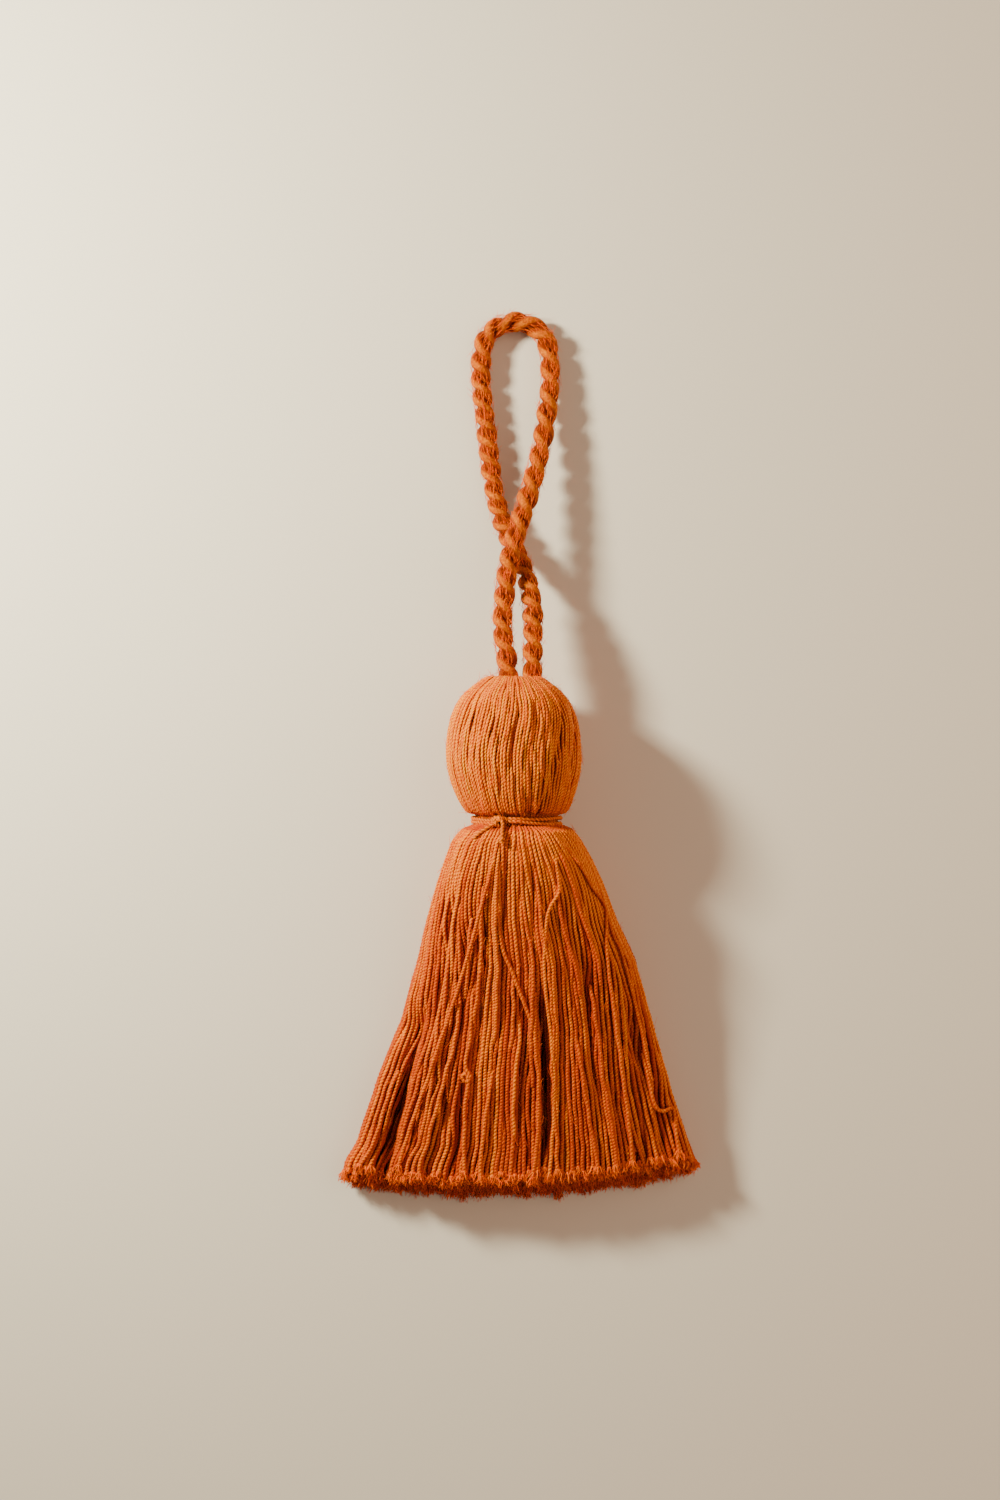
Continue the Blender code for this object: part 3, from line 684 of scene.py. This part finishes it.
def packShell():
    # the yarns at the surface are carried down from the neck, pushing each other apart: those
    # with no room in the neck lie deeper and come up as the skirt widens
    chance = np.random.default_rng(skirt["seed"])
    form, count = skirt["shell"], skirt["shell"]["count"]
    rows = np.concatenate([np.arange(*part) for part in skirt["rows"]])
    steps = -np.gradient(rows)
    jitter = chance.uniform(-form["jitter"], form["jitter"], count)
    share = 2 * (np.arange(count) + 0.5 + jitter) / count - 1
    depth = chance.uniform(*form["depths"], count)
    own = chance.uniform(*form["ownDepths"], count)  # some lie deeper than their neighbours
    laid = []
    for y, step in zip(rows, steps):
        x, z, along, outward = skirtOutline(y)
        half = along[-1]
        s = share * half
        room = fromTable(y, skirt["room"])
        room = room * (1 + form["sideRoom"] * np.sin(s / half * math.pi) ** 2)
        room = (room[:, None] + room[None, :]) / 2
        deepest = skirtSection(y)[2] / 2 - 1.5
        # below the neck the yarns on top fan out, and deeper ones come up between them
        fan = form["fan"] * np.clip((y - form["fanFrom"]) / form["fanOver"], 0, 1) * step
        s = s * (1 + fan * (depth < form["fanDepth"])
                 * np.clip(1 - (s / half / form["fanReach"]) ** 2, 0, 1))
        for turn in range(form["rounds"]):
            sunk, aside = furrowsAt(np.interp(s, along, x), y)
            onTop = np.cos(s / half * math.pi) > -0.1
            ring = np.maximum(1 - (depth[:, None] + depth[None, :]) * math.pi / (2 * half), 0.2)
            across, down = pushApart(s, depth, 2 * half, ring, room, form["push"])
            s = s + across + np.where(onTop, aside, 0) / form["rounds"]
            s -= 2 * half * np.round(s / (2 * half))
            depth = depth + down - form["rise"]
            depth = np.clip(depth, np.where(onTop, sunk, 0) + own, deepest)
        share = s / half
        laid.append(np.column_stack([share, depth]))
    laid = np.array(laid)
    turns = np.round(np.diff(laid[:, :, 0], axis=0) / 2)
    laid[1:, :, 0] -= 2 * np.cumsum(turns, axis=0)
    return rows, smoothRows(laid, form["smooth"])


def drifting(share, y):
    # slow sideways waves that neighbours share, growing from nothing at the neck
    chance = np.random.default_rng(skirt["seed"] + 5)
    slow = sum(chance.uniform(0.5, 1.0) * np.sin(share * chance.uniform(9, 34)
                                                 + y / chance.uniform(7, 16) + chance.uniform(0, 6))
               for number in range(7))
    return 0.17 * slow * np.clip((21 - y) / 45, 0, 1)


def wander(y, chance, size):
    # a yarn's own waves
    own = waves(fullTurn * y, (6.0, 9.5, 15.0, 26.0), chance)
    return size * own / 2 * np.clip((24 - y) / 45, 0, 1)


def trimYarn(points, chance):
    # cuts the yarn where it reaches the cut, which slants, so that the lower yarns are longer
    cut = skirt["cut"]
    x, z = points[-6, 0], points[-6, 2]
    endY = cut["y"] + cut["bow"] * (x - cut["middle"]) ** 2 + cut["slant"] * z
    endY += chance.normal(0, cut["ragged"])
    beyond = np.nonzero(points[:, 1] < endY)[0]
    if not len(beyond):
        return points
    i = max(1, beyond[0])
    share = (points[i - 1, 1] - endY) / (points[i - 1, 1] - points[i, 1])
    return np.vstack([points[:i], points[i - 1] + share * (points[i] - points[i - 1])])


def finishYarn(points, chance, size=1.0):
    points[:, 2] = np.maximum(points[:, 2], skirt["lowest"])
    points = trimYarn(points, chance)
    x, y = points[:, 0], points[:, 1]
    radii = fromTable(y, skirt["radii"]) * size * chance.uniform(*skirt["radiusSpread"])
    radii[-2:] *= skirt["opens"]
    # painted light: the yarns are lighter over the shoulder
    shoulderLight = skirt["shoulderLight"]
    paintedShoulderLight = np.clip((y - shoulderLight["from"]) / shoulderLight["over"], 0, 1)
    paintedShoulderLight = paintedShoulderLight * (shoulderLight["light"] + shoulderLight["perRight"] * x)
    away = x - fromTable(y, skirt["bundle"])
    bundled = skirt["bundleLight"] * np.exp(-(away / skirt["bundleWidth"]) ** 2)
    return points, radii, chance.normal(0, skirt["toneSpread"]) + paintedShoulderLight + bundled


def shellYarns():
    # top is what can be seen from above or from the side; under is the rest
    chance = np.random.default_rng(skirt["seed"] + 2)
    rows, laid = packShell()
    radii = fromTable(rows, skirt["radii"])
    form = skirt["shown"]
    top, under = [], []
    for number in range(skirt["shell"]["count"]):
        share, depth = laid[:, number].T
        points = np.vstack([placeYarns(y, share[i:i + 1], depth[i:i + 1] + radii[i])
                            for i, y in enumerate(rows)])
        points[:, 0] += (wander(rows, chance, 0.11)
                         + drifting(share, rows) * np.cos(share * math.pi / 2))
        points[:, 2] += wander(rows, chance, 0.08)
        facing = (np.abs(share) < form["share"]) & (depth < form["depth"])
        points, yarnRadii, shade = finishYarn(points, chance)
        groups = sum(size * np.sin(across * share + start + rows / along)
                     for size, across, along, start in skirt["tones"])
        shade = shade + groups[:len(points)]
        # the yarns that don't show are painted darker, as shade
        if facing[form["skipRows"]:].mean() > form["least"]:
            top.append((points, yarnRadii, shade))
        else:
            under.append((points, yarnRadii, shade - form["darker"]))
    return top, under


def fillingYarn(across, z, arch, ys):
    # keeps its place in the section as the skirt narrows, and stays under the partings
    top, base, widest = skirtSection(skirt["inner"]["y"])[2:5]
    up = (z - widest) / (top - widest) if z > widest else (z - widest) / (widest - base)
    points = []
    for y in ys:
        left, right, top, base, widest = skirtSection(y)[:5]
        reach = widest + up * ((top - widest) if up > 0 else (widest - base))
        x = (left + right) / 2 + across * skirt["inner"]["squeeze"] * (right - left) / 2
        highest = widest + (top - widest) * arch - skirt["inner"]["under"]
        sunk = furrowsAt(np.array([x]), y)[0][0]
        points.append((x, y, max(min(reach, highest - sunk), base + skirt["inner"]["above"])))
    return np.array(points)


def underYarns():
    # a second layer just under the surface, and the filling that shows at the cut end
    chance = np.random.default_rng(skirt["seed"] + 3)
    form, inner = skirt["under"], skirt["inner"]
    rows = np.linspace(skirt["rows"][0][0], skirt["rows"][-1][1], form["rows"])
    yarns = []
    for number in range(form["count"]):
        share = np.full(1, 2 * (number + 0.5) / form["count"] - 1)
        points = []
        for y in rows:
            x = placeYarns(y, share, 1.0)[:, 0]
            sunk = furrowsAt(x, y)[0] if abs(share[0]) < form["furrowed"] else 0
            depth = form["depth"] + form["deeper"] * (number % 2) + sunk
            points.append(placeYarns(y, share, depth))
        points = np.vstack(points)
        points[:, 0] += wander(rows, chance, 0.25)
        yarns.append(finishYarn(points, chance))
    left, right, top, base, widest, fullness = skirtSection(inner["y"])
    gap, sides, ends = inner["spacing"], inner["sides"], inner["ends"]
    for row, z in enumerate(np.arange(base + ends, top - ends, gap * inner["rowHeight"])):
        for x in np.arange(left + sides + gap / 2 * (row % 2), right - sides, gap):
            across = (x - (left + right) / 2) / ((right - left) / 2)
            arch = math.sqrt(max(0.0, 1 - across ** 2))
            low = max(widest - fullness * (widest - base) * arch, base) + inner["low"]
            if low <= z <= widest + (top - widest) * arch - ends:
                points = fillingYarn(across, z, arch, rows[rows < inner["upTo"]])
                points[:, 0] += wander(points[:, 1], chance, 0.4)
                yarns.append(finishYarn(points, chance, inner["size"]))
    return yarns


def onTop(line, above):
    # places on the skirt's top, some way out from it
    points = []
    half = slice(quarter, 3 * quarter + 1)
    for (x, y), out in zip(line, above):
        xs, zs, along, outward = skirtOutline(y)
        way = [np.interp(x, xs[half], outward[half, i]) for i in (0, 1)]
        points.append((x + out * way[0], y, np.interp(x, xs[half], zs[half]) + out * way[1]))
    return np.array(points)


def strayYarns():
    # the named yarns that cross the others, and loose ones that surface and slip under again
    chance = np.random.default_rng(skirt["seed"] + 4)
    form, lowEnd = skirt["loose"], skirt["lowEnd"]
    yarns = []
    for line, out, light in zip(skirt["strays"], skirt["strayOut"], skirt["strayLight"]):
        line = smoothLine(line, 0.8)
        run = runningLength(line)
        above = out - 1.1 * np.exp(-run / 3.5)  # it comes up from under the others
        if line[-1, 1] >= skirt["nearCut"]:
            above -= 1.2 * np.exp(-(run[-1] - run) / 2.0)
        line[:, 0] += wander(line[:, 1], chance, 0.12)
        yarns.append((onTop(line, above), light))
    for number in range(form["count"]):
        begins = chance.uniform(*form["begins"])
        ends = lowEnd
        if chance.random() >= form["toCut"]:
            ends = max(begins - chance.uniform(*form["length"]), lowEnd)
        ys = np.arange(begins, ends, -0.9)
        share = chance.uniform(-form["share"], form["share"])
        lean = chance.normal(0, form["lean"]) * np.clip((begins - ys) / 40, 0, 1)
        lean += chance.normal(0, form["sway"]) * np.sin(
            fullTurn * ys / chance.uniform(*form["swayLength"]) + chance.uniform(0, 6))
        left, right = skirtSection(ys)[:2]
        xs = (left + right) / 2 + np.clip(share + lean, -0.96, 0.96) * (right - left) / 2
        xs = xs + wander(ys, chance, 0.25)
        above = form["out"] - 1.2 * np.exp(-(begins - ys) / 3.0)
        if ends > lowEnd + 1:
            above = above - 1.2 * np.exp(-(ys - ends) / 3.0)
        yarns.append((onTop(np.column_stack([xs, ys]), above), chance.normal(0.0, 0.05)))
    finished = []
    for points, shade in yarns:
        if points[-1, 1] < skirt["nearCut"]:
            more = (points[-1] - points[-2]) * np.arange(1, 9)[:, None]  # past the cut
            points = np.vstack([points, points[-1] + more])
            points, radii = finishYarn(points, chance, skirt["straySize"])[:2]
        else:
            radii = fromTable(points[:, 1], skirt["radii"]) * skirt["straySize"]
        finished.append((points, radii, shade))
    return finished


topYarns, hiddenYarns = shellYarns()
fillYarns = underYarns()
looseYarns = strayYarns()
print(f"skirt laid: {len(topYarns)} at the top, {len(hiddenYarns)} below, {len(fillYarns)} inside")


def sideWay(ahead, chance, lift=0.0):
    # a random way out from a yarn, square to it
    way = chance.normal(0, 1, 3) + (0, 0, lift)
    return unit(way - ahead * way.dot(ahead))


# fibres at each cut end, their size and how much lighter they are: for the yarns that show, which
# are painted lighter as light on the ends on top, then for the others. They grow where a yarn ends
# below y, and radii are at root, middle and tip
fray = {"shown": (42, 1.15, 0.12), "others": (17, 1.0, 0.0), "belowY": -36,
        "length": (0.2, 1.0), "spread": (0.25, 1.2), "radii": (0.075, 0.085, 0.05),
        "curl": 0.3, "toneSpread": 0.06, "lowest": 0.1}


def frayEnds(yarns, perEnd, size, light, chance):
    # each cut end opens into a small brush of fibres
    fibres = []
    for points, radii, shade in yarns:
        if points[-1, 1] > fray["belowY"]:
            continue
        ahead = unit(points[-1] - points[-2])
        for number in range(perEnd):
            way = sideWay(ahead, chance)
            length = chance.uniform(*fray["length"]) * size
            spread = chance.uniform(*fray["spread"]) * length
            root = points[-1] - 0.7 * ahead + way * radii[-1] * chance.uniform(0.3, 1.0)
            curl = chance.normal(0, fray["curl"], 3) * length
            line = np.array([root,
                             root + (0.5 + 0.4 * length) * ahead + 0.7 * spread * way - 0.5 * curl,
                             root + (0.7 + 0.9 * length) * ahead + spread * way + curl])
            line[:, 2] = np.maximum(line[:, 2], fray["lowest"])
            tone = light + chance.normal(0, fray["toneSpread"])
            fibres.append((line, np.array(fray["radii"]) * size, tone))
    return fibres


def dressSkirt():
    chance = np.random.default_rng(skirt["seed"] + 6)
    shownYarns = sorted(topYarns + looseYarns, key=lambda yarn: yarn[0][-1, 0])
    third = math.ceil(len(shownYarns) / 3)
    pieces = [sweepYarns("skirt" + side + "Yarns", shownYarns[i * third:(i + 1) * third],
                         fineYarn, skirtCotton, seed=i, outward=skirtWays)
              for i, side in enumerate(("Left", "Middle", "Right"))]
    pieces.append(sweepYarns("skirtUnderYarns", hiddenYarns, plainYarn, skirtCotton,
                             outward=skirtWays))
    pieces.append(sweepYarns("skirtInnerYarns", fillYarns, coarseYarn, skirtCotton,
                             outward=skirtWays))
    brushes = frayEnds(shownYarns, *fray["shown"], chance)
    brushes += frayEnds(hiddenYarns + fillYarns, *fray["others"], chance)
    pieces.append(sweepYarns("skirtCutEnds", brushes, cutFibre, fibreCotton))
    return pieces


skirtPieces = dressSkirt()

head = {
    "middle": (-1.05, 39.0, 13.0), "neckX": -0.5, "seed": 5, "yarnCount": 126,
    # distance along from the middle, then the half width and half height there
    "profile": [
        (-14.4, 8.3, 8.3), (-13.0, 8.4, 8.4), (-12.7, 9.6, 9.6), (-12.2, 10.4, 10.4),
        (-10.2, 11.5, 11.5), (-7.0, 12.7, 12.7), (-2.8, 13.6, 13.6), (1.6, 13.6, 13.6),
        (6.0, 12.9, 12.9), (9.6, 11.4, 11.4), (12.0, 9.4, 9.4), (13.4, 7.6, 7.4),
        (14.3, 6.4, 5.6), (14.8, 5.3, 3.7), (14.5, 4.5, 2.2), (13.2, 4.0, 1.4)],
    "station": 0.75, "yarnRadius": 0.325, "radiusSpread": (0.94, 1.06), "toneSpread": 0.06,
    # the room a yarn takes, and its share of that at two places near the neck
    "spacing": 0.68, "closer": [(-14, 0.86), (-9, 1.0)],
    # how uneven the yarns' places and depths are at the widest place, how they are pushed apart
    "packing": {"jitter": 0.2, "depths": (0, 0.25), "ownDepths": (0, 0.28), "rounds": 16,
                "push": 0.25, "rise": 0.04, "smooth": 1.5},
    "neckPaintedShade": 0.16,  # painted shade: how much darker the yarns are near the neck, where the head curves under
    # the filling inside is painted darker, as shade under the outer yarns
    "filling": {"count": 72, "depth": 1.7, "radius": 0.72, "light": -0.1, "shortBy": 3},
    # where the yarns part: points (x, y) on the side that is up, depth and half width
    "partings": [
        ([(-9.6, 48.2), (-11.0, 44.6)], 0.7, 0.5), ([(-3.6, 44.3), (-4.6, 38.6)], 0.8, 0.5),
        ([(0.1, 47.0), (-0.8, 43.8), (-1.8, 39.6), (-2.1, 35.0)], 1.1, 0.55),
        ([(2.9, 47.5), (3.0, 43.0), (2.6, 37.0)], 0.8, 0.45),
        ([(8.2, 48.6), (8.8, 46.9), (8.6, 40.8), (7.0, 37.6), (6.4, 31.5)], 1.2, 0.6),
        ([(10.4, 46.5), (11.5, 43.9), (10.4, 31.5)], 0.9, 0.5),
        ([(-6.5, 40.0), (-6.8, 31.0)], 0.5, 0.4), ([(-9.0, 36.0), (-8.2, 28.5)], 0.5, 0.4),
        ([(4.6, 33.0), (3.6, 27.5)], 0.5, 0.4), ([(0.4, 34.0), (0.6, 28.0)], 0.5, 0.4)],
    "finePartings": {"count": 46, "share": 0.85, "y": (28, 50), "length": (2, 6),
                     "depth": (0.35, 0.85), "width": (0.3, 0.45)},
    # a parting fades past its ends from here, over this length; how it sinks and pushes the yarns
    "partingPast": 1.5, "partingFade": 2, "partingSink": 0.8, "partingPush": 0.05,
}


def headDrift(angle, along):
    # from the crown down, the yarns on top and to the right lean towards the left
    lean = np.clip((along + 2) / 12, 0, 1)
    return 0.13 * lean * lean * (3 - 2 * lean) * (1 + np.cos(angle - 0.6)) / 2


def headPartings():
    # the named partings and many short ones that follow the ball
    chance = np.random.default_rng(head["seed"] + 2)
    fine = head["finePartings"]
    lines = list(head["partings"])
    for number in range(fine["count"]):
        share, y = chance.uniform(-fine["share"], fine["share"]), chance.uniform(*fine["y"])
        reach = [11.5 * math.sqrt(max(0.1, 1 - ((place - head["middle"][1]) / 15) ** 2))
                 for place in (y, y - 4)]
        line = [(share * reach[0] - 1, y),
                (share * reach[1] - 1, y - chance.uniform(*fine["length"]))]
        lines.append((line, chance.uniform(*fine["depth"]), chance.uniform(*fine["width"])))
    return lines


def headFurrow(angle, along, radius):
    # how deep the partings sink the surface here, and how far they push the yarns round it
    sunk, aside = np.zeros_like(angle), np.zeros_like(angle)
    y, past, over = head["middle"][1] + along, head["partingPast"], head["partingFade"]
    for line, depth, width in headLines:
        line = np.array(line, float)[::-1]
        if line[0, 1] - past < y < line[-1, 1] + past:
            fade = min(1.0, (y - line[0, 1] + past) / over, (line[-1, 1] + past - y) / over)
            x = np.interp(y, line[:, 1], line[:, 0]) - head["middle"][0]
            gap = (angle - math.asin(max(-1.0, min(1.0, x / radius)))) * radius / width
            gap = np.where(np.abs(angle) < 1.6, gap, 9.0)  # only on the side that is up
            sunk += head["partingSink"] * depth * fade * np.exp(-gap ** 2)
            aside += head["partingPush"] * fade * gap * np.exp(-gap ** 2)
    return sunk, aside / radius


headLines = headPartings()


def packHead():
    # yarns lie side by side round the widest place and slip under each other towards the ends
    chance = np.random.default_rng(head["seed"])
    along, wide, tall = smoothLine(head["profile"], head["station"]).T
    radius = (wide + tall) / 2
    form, count = head["packing"], head["yarnCount"]
    angles = np.zeros((len(along), count))
    depths = np.zeros((len(along), count))
    begin = int(np.argmax(radius))
    for rows in (range(begin, len(along)), range(begin, -1, -1)):
        jitter = chance.uniform(-form["jitter"], form["jitter"], count)
        angle = (np.arange(count) + jitter) * fullTurn / count - math.pi
        depth = chance.uniform(*form["depths"], count)
        own = chance.uniform(*form["ownDepths"], count)
        for k in rows:
            spacing = head["spacing"] * fromTable(along[k], head["closer"])
            sunk, aside = headFurrow(angle + headDrift(angle, along[k]), along[k], radius[k])
            for turn in range(form["rounds"]):
                ring = np.maximum(radius[k] - (depth[:, None] + depth[None, :]) / 2, 1.0)
                across, down = pushApart(angle, depth, fullTurn, ring, spacing, form["push"])
                angle = (angle + across / np.maximum(radius[k] - depth, 1.0)
                         + aside / form["rounds"])
                depth = np.clip(depth + down - form["rise"], sunk + own, None)
            angles[k], depths[k] = angle, depth
    return along, wide, tall, smoothRows(angles, form["smooth"]), smoothRows(depths, form["smooth"])


def headPoints(along, wide, tall, angle, depth):
    # the depth is measured square to the profile
    radius = (wide + tall) / 2
    slope = np.column_stack([np.gradient(along), np.gradient(radius)])
    slope /= np.linalg.norm(slope, axis=1)[:, None]
    inward = depth * slope[:, 0]
    lean = np.clip(-along / 13.0, 0, 1)
    x = head["middle"][0] + (head["neckX"] - head["middle"][0]) * lean ** 2
    turned = angle + headDrift(angle, along)
    points = np.column_stack([
        x + (wide - inward) * np.sin(turned),
        head["middle"][1] + along + depth * slope[:, 1],
        head["middle"][2] + (tall - inward) * np.cos(turned)])
    points[:, 2] = np.maximum(points[:, 2], head["yarnRadius"])
    return points


def makeHead():
    chance = np.random.default_rng(head["seed"] + 1)
    along, wide, tall, angles, depths = packHead()
    radius, filling = head["yarnRadius"], head["filling"]
    outer, below, inner = [], [], []
    for number in range(head["yarnCount"]):
        wave = waves(along, (0.9, 1.5, 2.8), chance) * 0.045 / np.maximum(wide, 4)
        points = headPoints(along, wide, tall, angles[:, number] + wave, depths[:, number] + radius)
        radii = np.full(len(points), radius * chance.uniform(*head["radiusSpread"]))
        # painted shade on the yarns near the neck, where the head curves under
        neckShadow = head["neckPaintedShade"] * np.clip((-8.5 - along) / 4, 0, 1)
        yarn = (points, radii, chance.normal(0, head["toneSpread"]) - neckShadow)
        (outer if np.cos(angles[:, number]).mean() > -0.25 else below).append(yarn)
    for number in range(filling["count"]):
        angle = np.full(len(along), fullTurn * number / filling["count"])
        points = headPoints(along, wide, tall, angle, np.full(len(along), filling["depth"]))
        points = points[:-filling["shortBy"]]
        inner.append((points, np.full(len(points), filling["radius"]), filling["light"]))
    return outer, below, inner


def headWays(points):
    return unit(points - head["middle"])


headYarns, headBelow, headFilling = makeHead()
headPieces = [
    sweepYarns("headYarns", headYarns, headYarn, headLitCotton, seed=21, outward=headWays),
    sweepYarns("headBelowYarns", headBelow, headYarn, headLitCotton, seed=22, outward=headWays),
    sweepYarns("headInnerYarns", headFilling, coarseYarn, headLitCotton, outward=headWays)]

binding = {
    "y": 25.05, "innerRadius": 8.4, "yarnRadius": 0.39, "middle": (-0.5, 13.0),  # x and z
    "wraps": 2, "wrapLight": 0.05, "tailRadius": 0.45, "tailLight": 0.1,
    "knotAngle": -22.0,  # degrees from the top, towards the left
    # the tails and the bar of the knot: points round the neck, along the tassel and outwards
    "tails": [
        [(1.3, 0.3, 0.2), (0.7, 0.55, 0.75), (-0.2, 0.1, 1.05), (-0.9, -0.6, 1.1),
         (-1.9, -1.6, 2.2), (-2.9, -2.7, 3.1), (-3.4, -3.4, 3.2)],
        [(-1.3, 0.4, 0.2), (-0.6, 0.75, 0.8), (0.4, 0.5, 1.1), (0.95, -0.5, 1.1),
         (1.1, -1.6, 2.2), (1.2, -2.9, 3.1), (1.1, -4.2, 3.3)],
        [(0.2, 0.9, 0.1), (-0.35, 0.6, 0.9), (-0.5, -0.1, 1.3), (-0.1, -0.8, 0.95),
         (0.3, -1.0, 0.2)]],
}


def makeBinding():
    middleX, middleZ = binding["middle"]
    radius = binding["yarnRadius"]
    ring = binding["innerRadius"] + radius
    knot = math.radians(binding["knotAngle"])
    turn = np.linspace(0, binding["wraps"] * fullTurn, 130)
    angle = knot + turn
    # the wraps lie beside each other, a little unevenly, and the second one sags on the right
    rise = radius * np.tanh(4 * np.sin((turn - fullTurn) / 4))
    wobble = 0.08 * np.sin(3 * turn) + 0.05 * np.sin(7 * turn + 1)
    sag = 0.4 * np.clip(np.sin(angle), 0, 1) * (turn > fullTurn)
    points = np.column_stack([middleX + (ring + wobble) * np.sin(angle),
                              binding["y"] - rise + 0.06 * np.sin(5 * turn) - sag,
                              middleZ + (ring + wobble) * np.cos(angle)])
    yarns = [(points, np.full(len(points), radius), binding["wrapLight"])]
    for tail in binding["tails"]:
        line = [(middleX + (ring + outward) * math.sin(knot + sideways / ring),
                 binding["y"] + along,
                 middleZ + (ring + outward) * math.cos(knot + sideways / ring))
                for sideways, along, outward in tail]
        points = smoothLine(line, 0.5)
        yarns.append((points, np.full(len(points), binding["tailRadius"]), binding["tailLight"]))
    return yarns


def bindingWays(points):
    middleX, middleZ = binding["middle"]
    return unit((points - (middleX, 0, middleZ)) * (1, 0, 1))


bindingYarns = makeBinding()
bindingPiece = sweepYarns("neckBindingYarn", bindingYarns, bindingYarn, bindingShadedCotton, seed=31,
                          outward=bindingWays)
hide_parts("neck_binding")
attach(bindingPiece, "root")

# how many hairs on each, and a hair's length, its stand off and curl as shares of that, and its
# radius, with how that runs from root to tip. The rope's hairs grow on its outside
fuzz = {"seed": 77, "head": 1300, "skirt": 2200, "rope": 3200, "length": (0.8, 2.6),
        "standOff": (0.05, 0.45), "curl": 0.15, "radius": 0.04, "taper": (1.0, 0.9, 0.4),
        "light": 0.05, "toneSpread": 0.06, "lowest": 0.1,
        "ropeReach": 0.9, "ropeHairRadius": 0.045, "ropeRadius": 2.2}


def looseFibres(yarns, count, chance, reach=1.0, thick=fuzz["radius"]):
    # fine hairs that leave the yarns and lie along them or stand off a little
    lengths = np.array([runningLength(points)[-1] for points, radii, shade in yarns])
    fibres = []
    for pick in chance.choice(len(yarns), count, p=lengths / lengths.sum()):
        points, radii, shade = yarns[pick]
        i = chance.integers(1, len(points) - 1)
        ahead = unit(points[i + 1] - points[i - 1]) * chance.choice((-1, 1))
        way = sideWay(ahead, chance, 0.5)
        length = chance.uniform(*fuzz["length"]) * reach
        lift = chance.uniform(*fuzz["standOff"]) * length
        root = points[i] + way * radii[i] * 0.8
        curl = chance.normal(0, fuzz["curl"], 3) * length
        line = np.array([root, root + 0.5 * length * ahead + (0.3 * lift + 0.1) * way,
                         root + length * ahead + lift * way + curl])
        line[:, 2] = np.maximum(line[:, 2], fuzz["lowest"])
        tone = chance.normal(fuzz["light"], fuzz["toneSpread"])
        fibres.append((line, thick * np.array(fuzz["taper"]), tone))
    return fibres


fuzzChance = np.random.default_rng(fuzz["seed"])
headFibres = looseFibres(headYarns + bindingYarns, fuzz["head"], fuzzChance)
headPieces.append(sweepYarns("headFuzz", headFibres, looseFibre, fibreCotton))
skirtFibres = looseFibres(topYarns + looseYarns, fuzz["skirt"], fuzzChance)
skirtPieces.append(sweepYarns("skirtFuzz", skirtFibres, looseFibre, fibreCotton))
ropeBody = [(ropeMiddle, np.full(len(ropeMiddle), fuzz["ropeRadius"]), 0.0)]
ropeFibres = looseFibres(ropeBody, fuzz["rope"], fuzzChance, fuzz["ropeReach"],
                         fuzz["ropeHairRadius"])
ropeFuzz = sweepYarns("ropeFuzz", ropeFibres, looseFibre, fibreCotton)
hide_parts("hanging_loop")
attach(ropeFuzz, "root")

for piece in skirtPieces + headPieces:
    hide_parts("head_and_skirt")
    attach(piece, "root")

studio = {  # places and sizes in metres
    "floorColour": "DCD6CC", "floorRoughness": 0.9, "floorSize": 1.6,
    "key": {"place": (-0.25, 0.18, 0.175), "aim": (0.0, 0.03, 0.01), "size": 0.05, "power": 3.2,
            "colour": "FFF9DA"},
    "fill": {"place": (0.52, 0.12, 0.50), "aim": (0.0, 0.03, 0.0), "size": 0.9, "power": 4.6,
             "colour": "FFD2AC"},
    "skyColour": "FFE6D0", "skyStrength": 0.185,
}


def makeStudio():
    half = studio["floorSize"] / 2
    mesh = bpy.data.meshes.new("paleFloor")
    mesh.from_pydata([(-half, -half, 0), (half, -half, 0), (half, half, 0), (-half, half, 0)], [],
                     [(0, 1, 2, 3)])
    plain = bpy.data.materials.new("mattPaperFloor")
    plain.use_nodes = True
    surface = plain.node_tree.nodes["Principled BSDF"]
    surface.inputs["Base Color"].default_value = linearColour(studio["floorColour"])
    surface.inputs["Roughness"].default_value = studio["floorRoughness"]
    mesh.materials.append(plain)
    floor = addObject("paleFloor", mesh)
    for name in ("key", "fill"):
        form = studio[name]
        data = bpy.data.lights.new(name, "AREA")
        data.energy = form["power"]
        data.size = form["size"]
        data.color = linearColour(form["colour"])[:3]
        light = addObject(name, data)
        light.location = form["place"]
        towards = np.array(form["aim"]) - np.array(form["place"])
        light.rotation_mode = "XYZ"
        tilt = math.atan2(math.hypot(towards[0], towards[1]), -towards[2])
        light.rotation_euler = (tilt, 0, math.atan2(towards[0], -towards[1]) + math.pi)
    sky = bpy.data.worlds.new("softSky")
    sky.use_nodes = True
    surface = sky.node_tree.nodes["Background"]
    surface.inputs["Color"].default_value = linearColour(studio["skyColour"])
    surface.inputs["Strength"].default_value = studio["skyStrength"]
    bpy.context.scene.world = sky


makeStudio()
print("studio set")
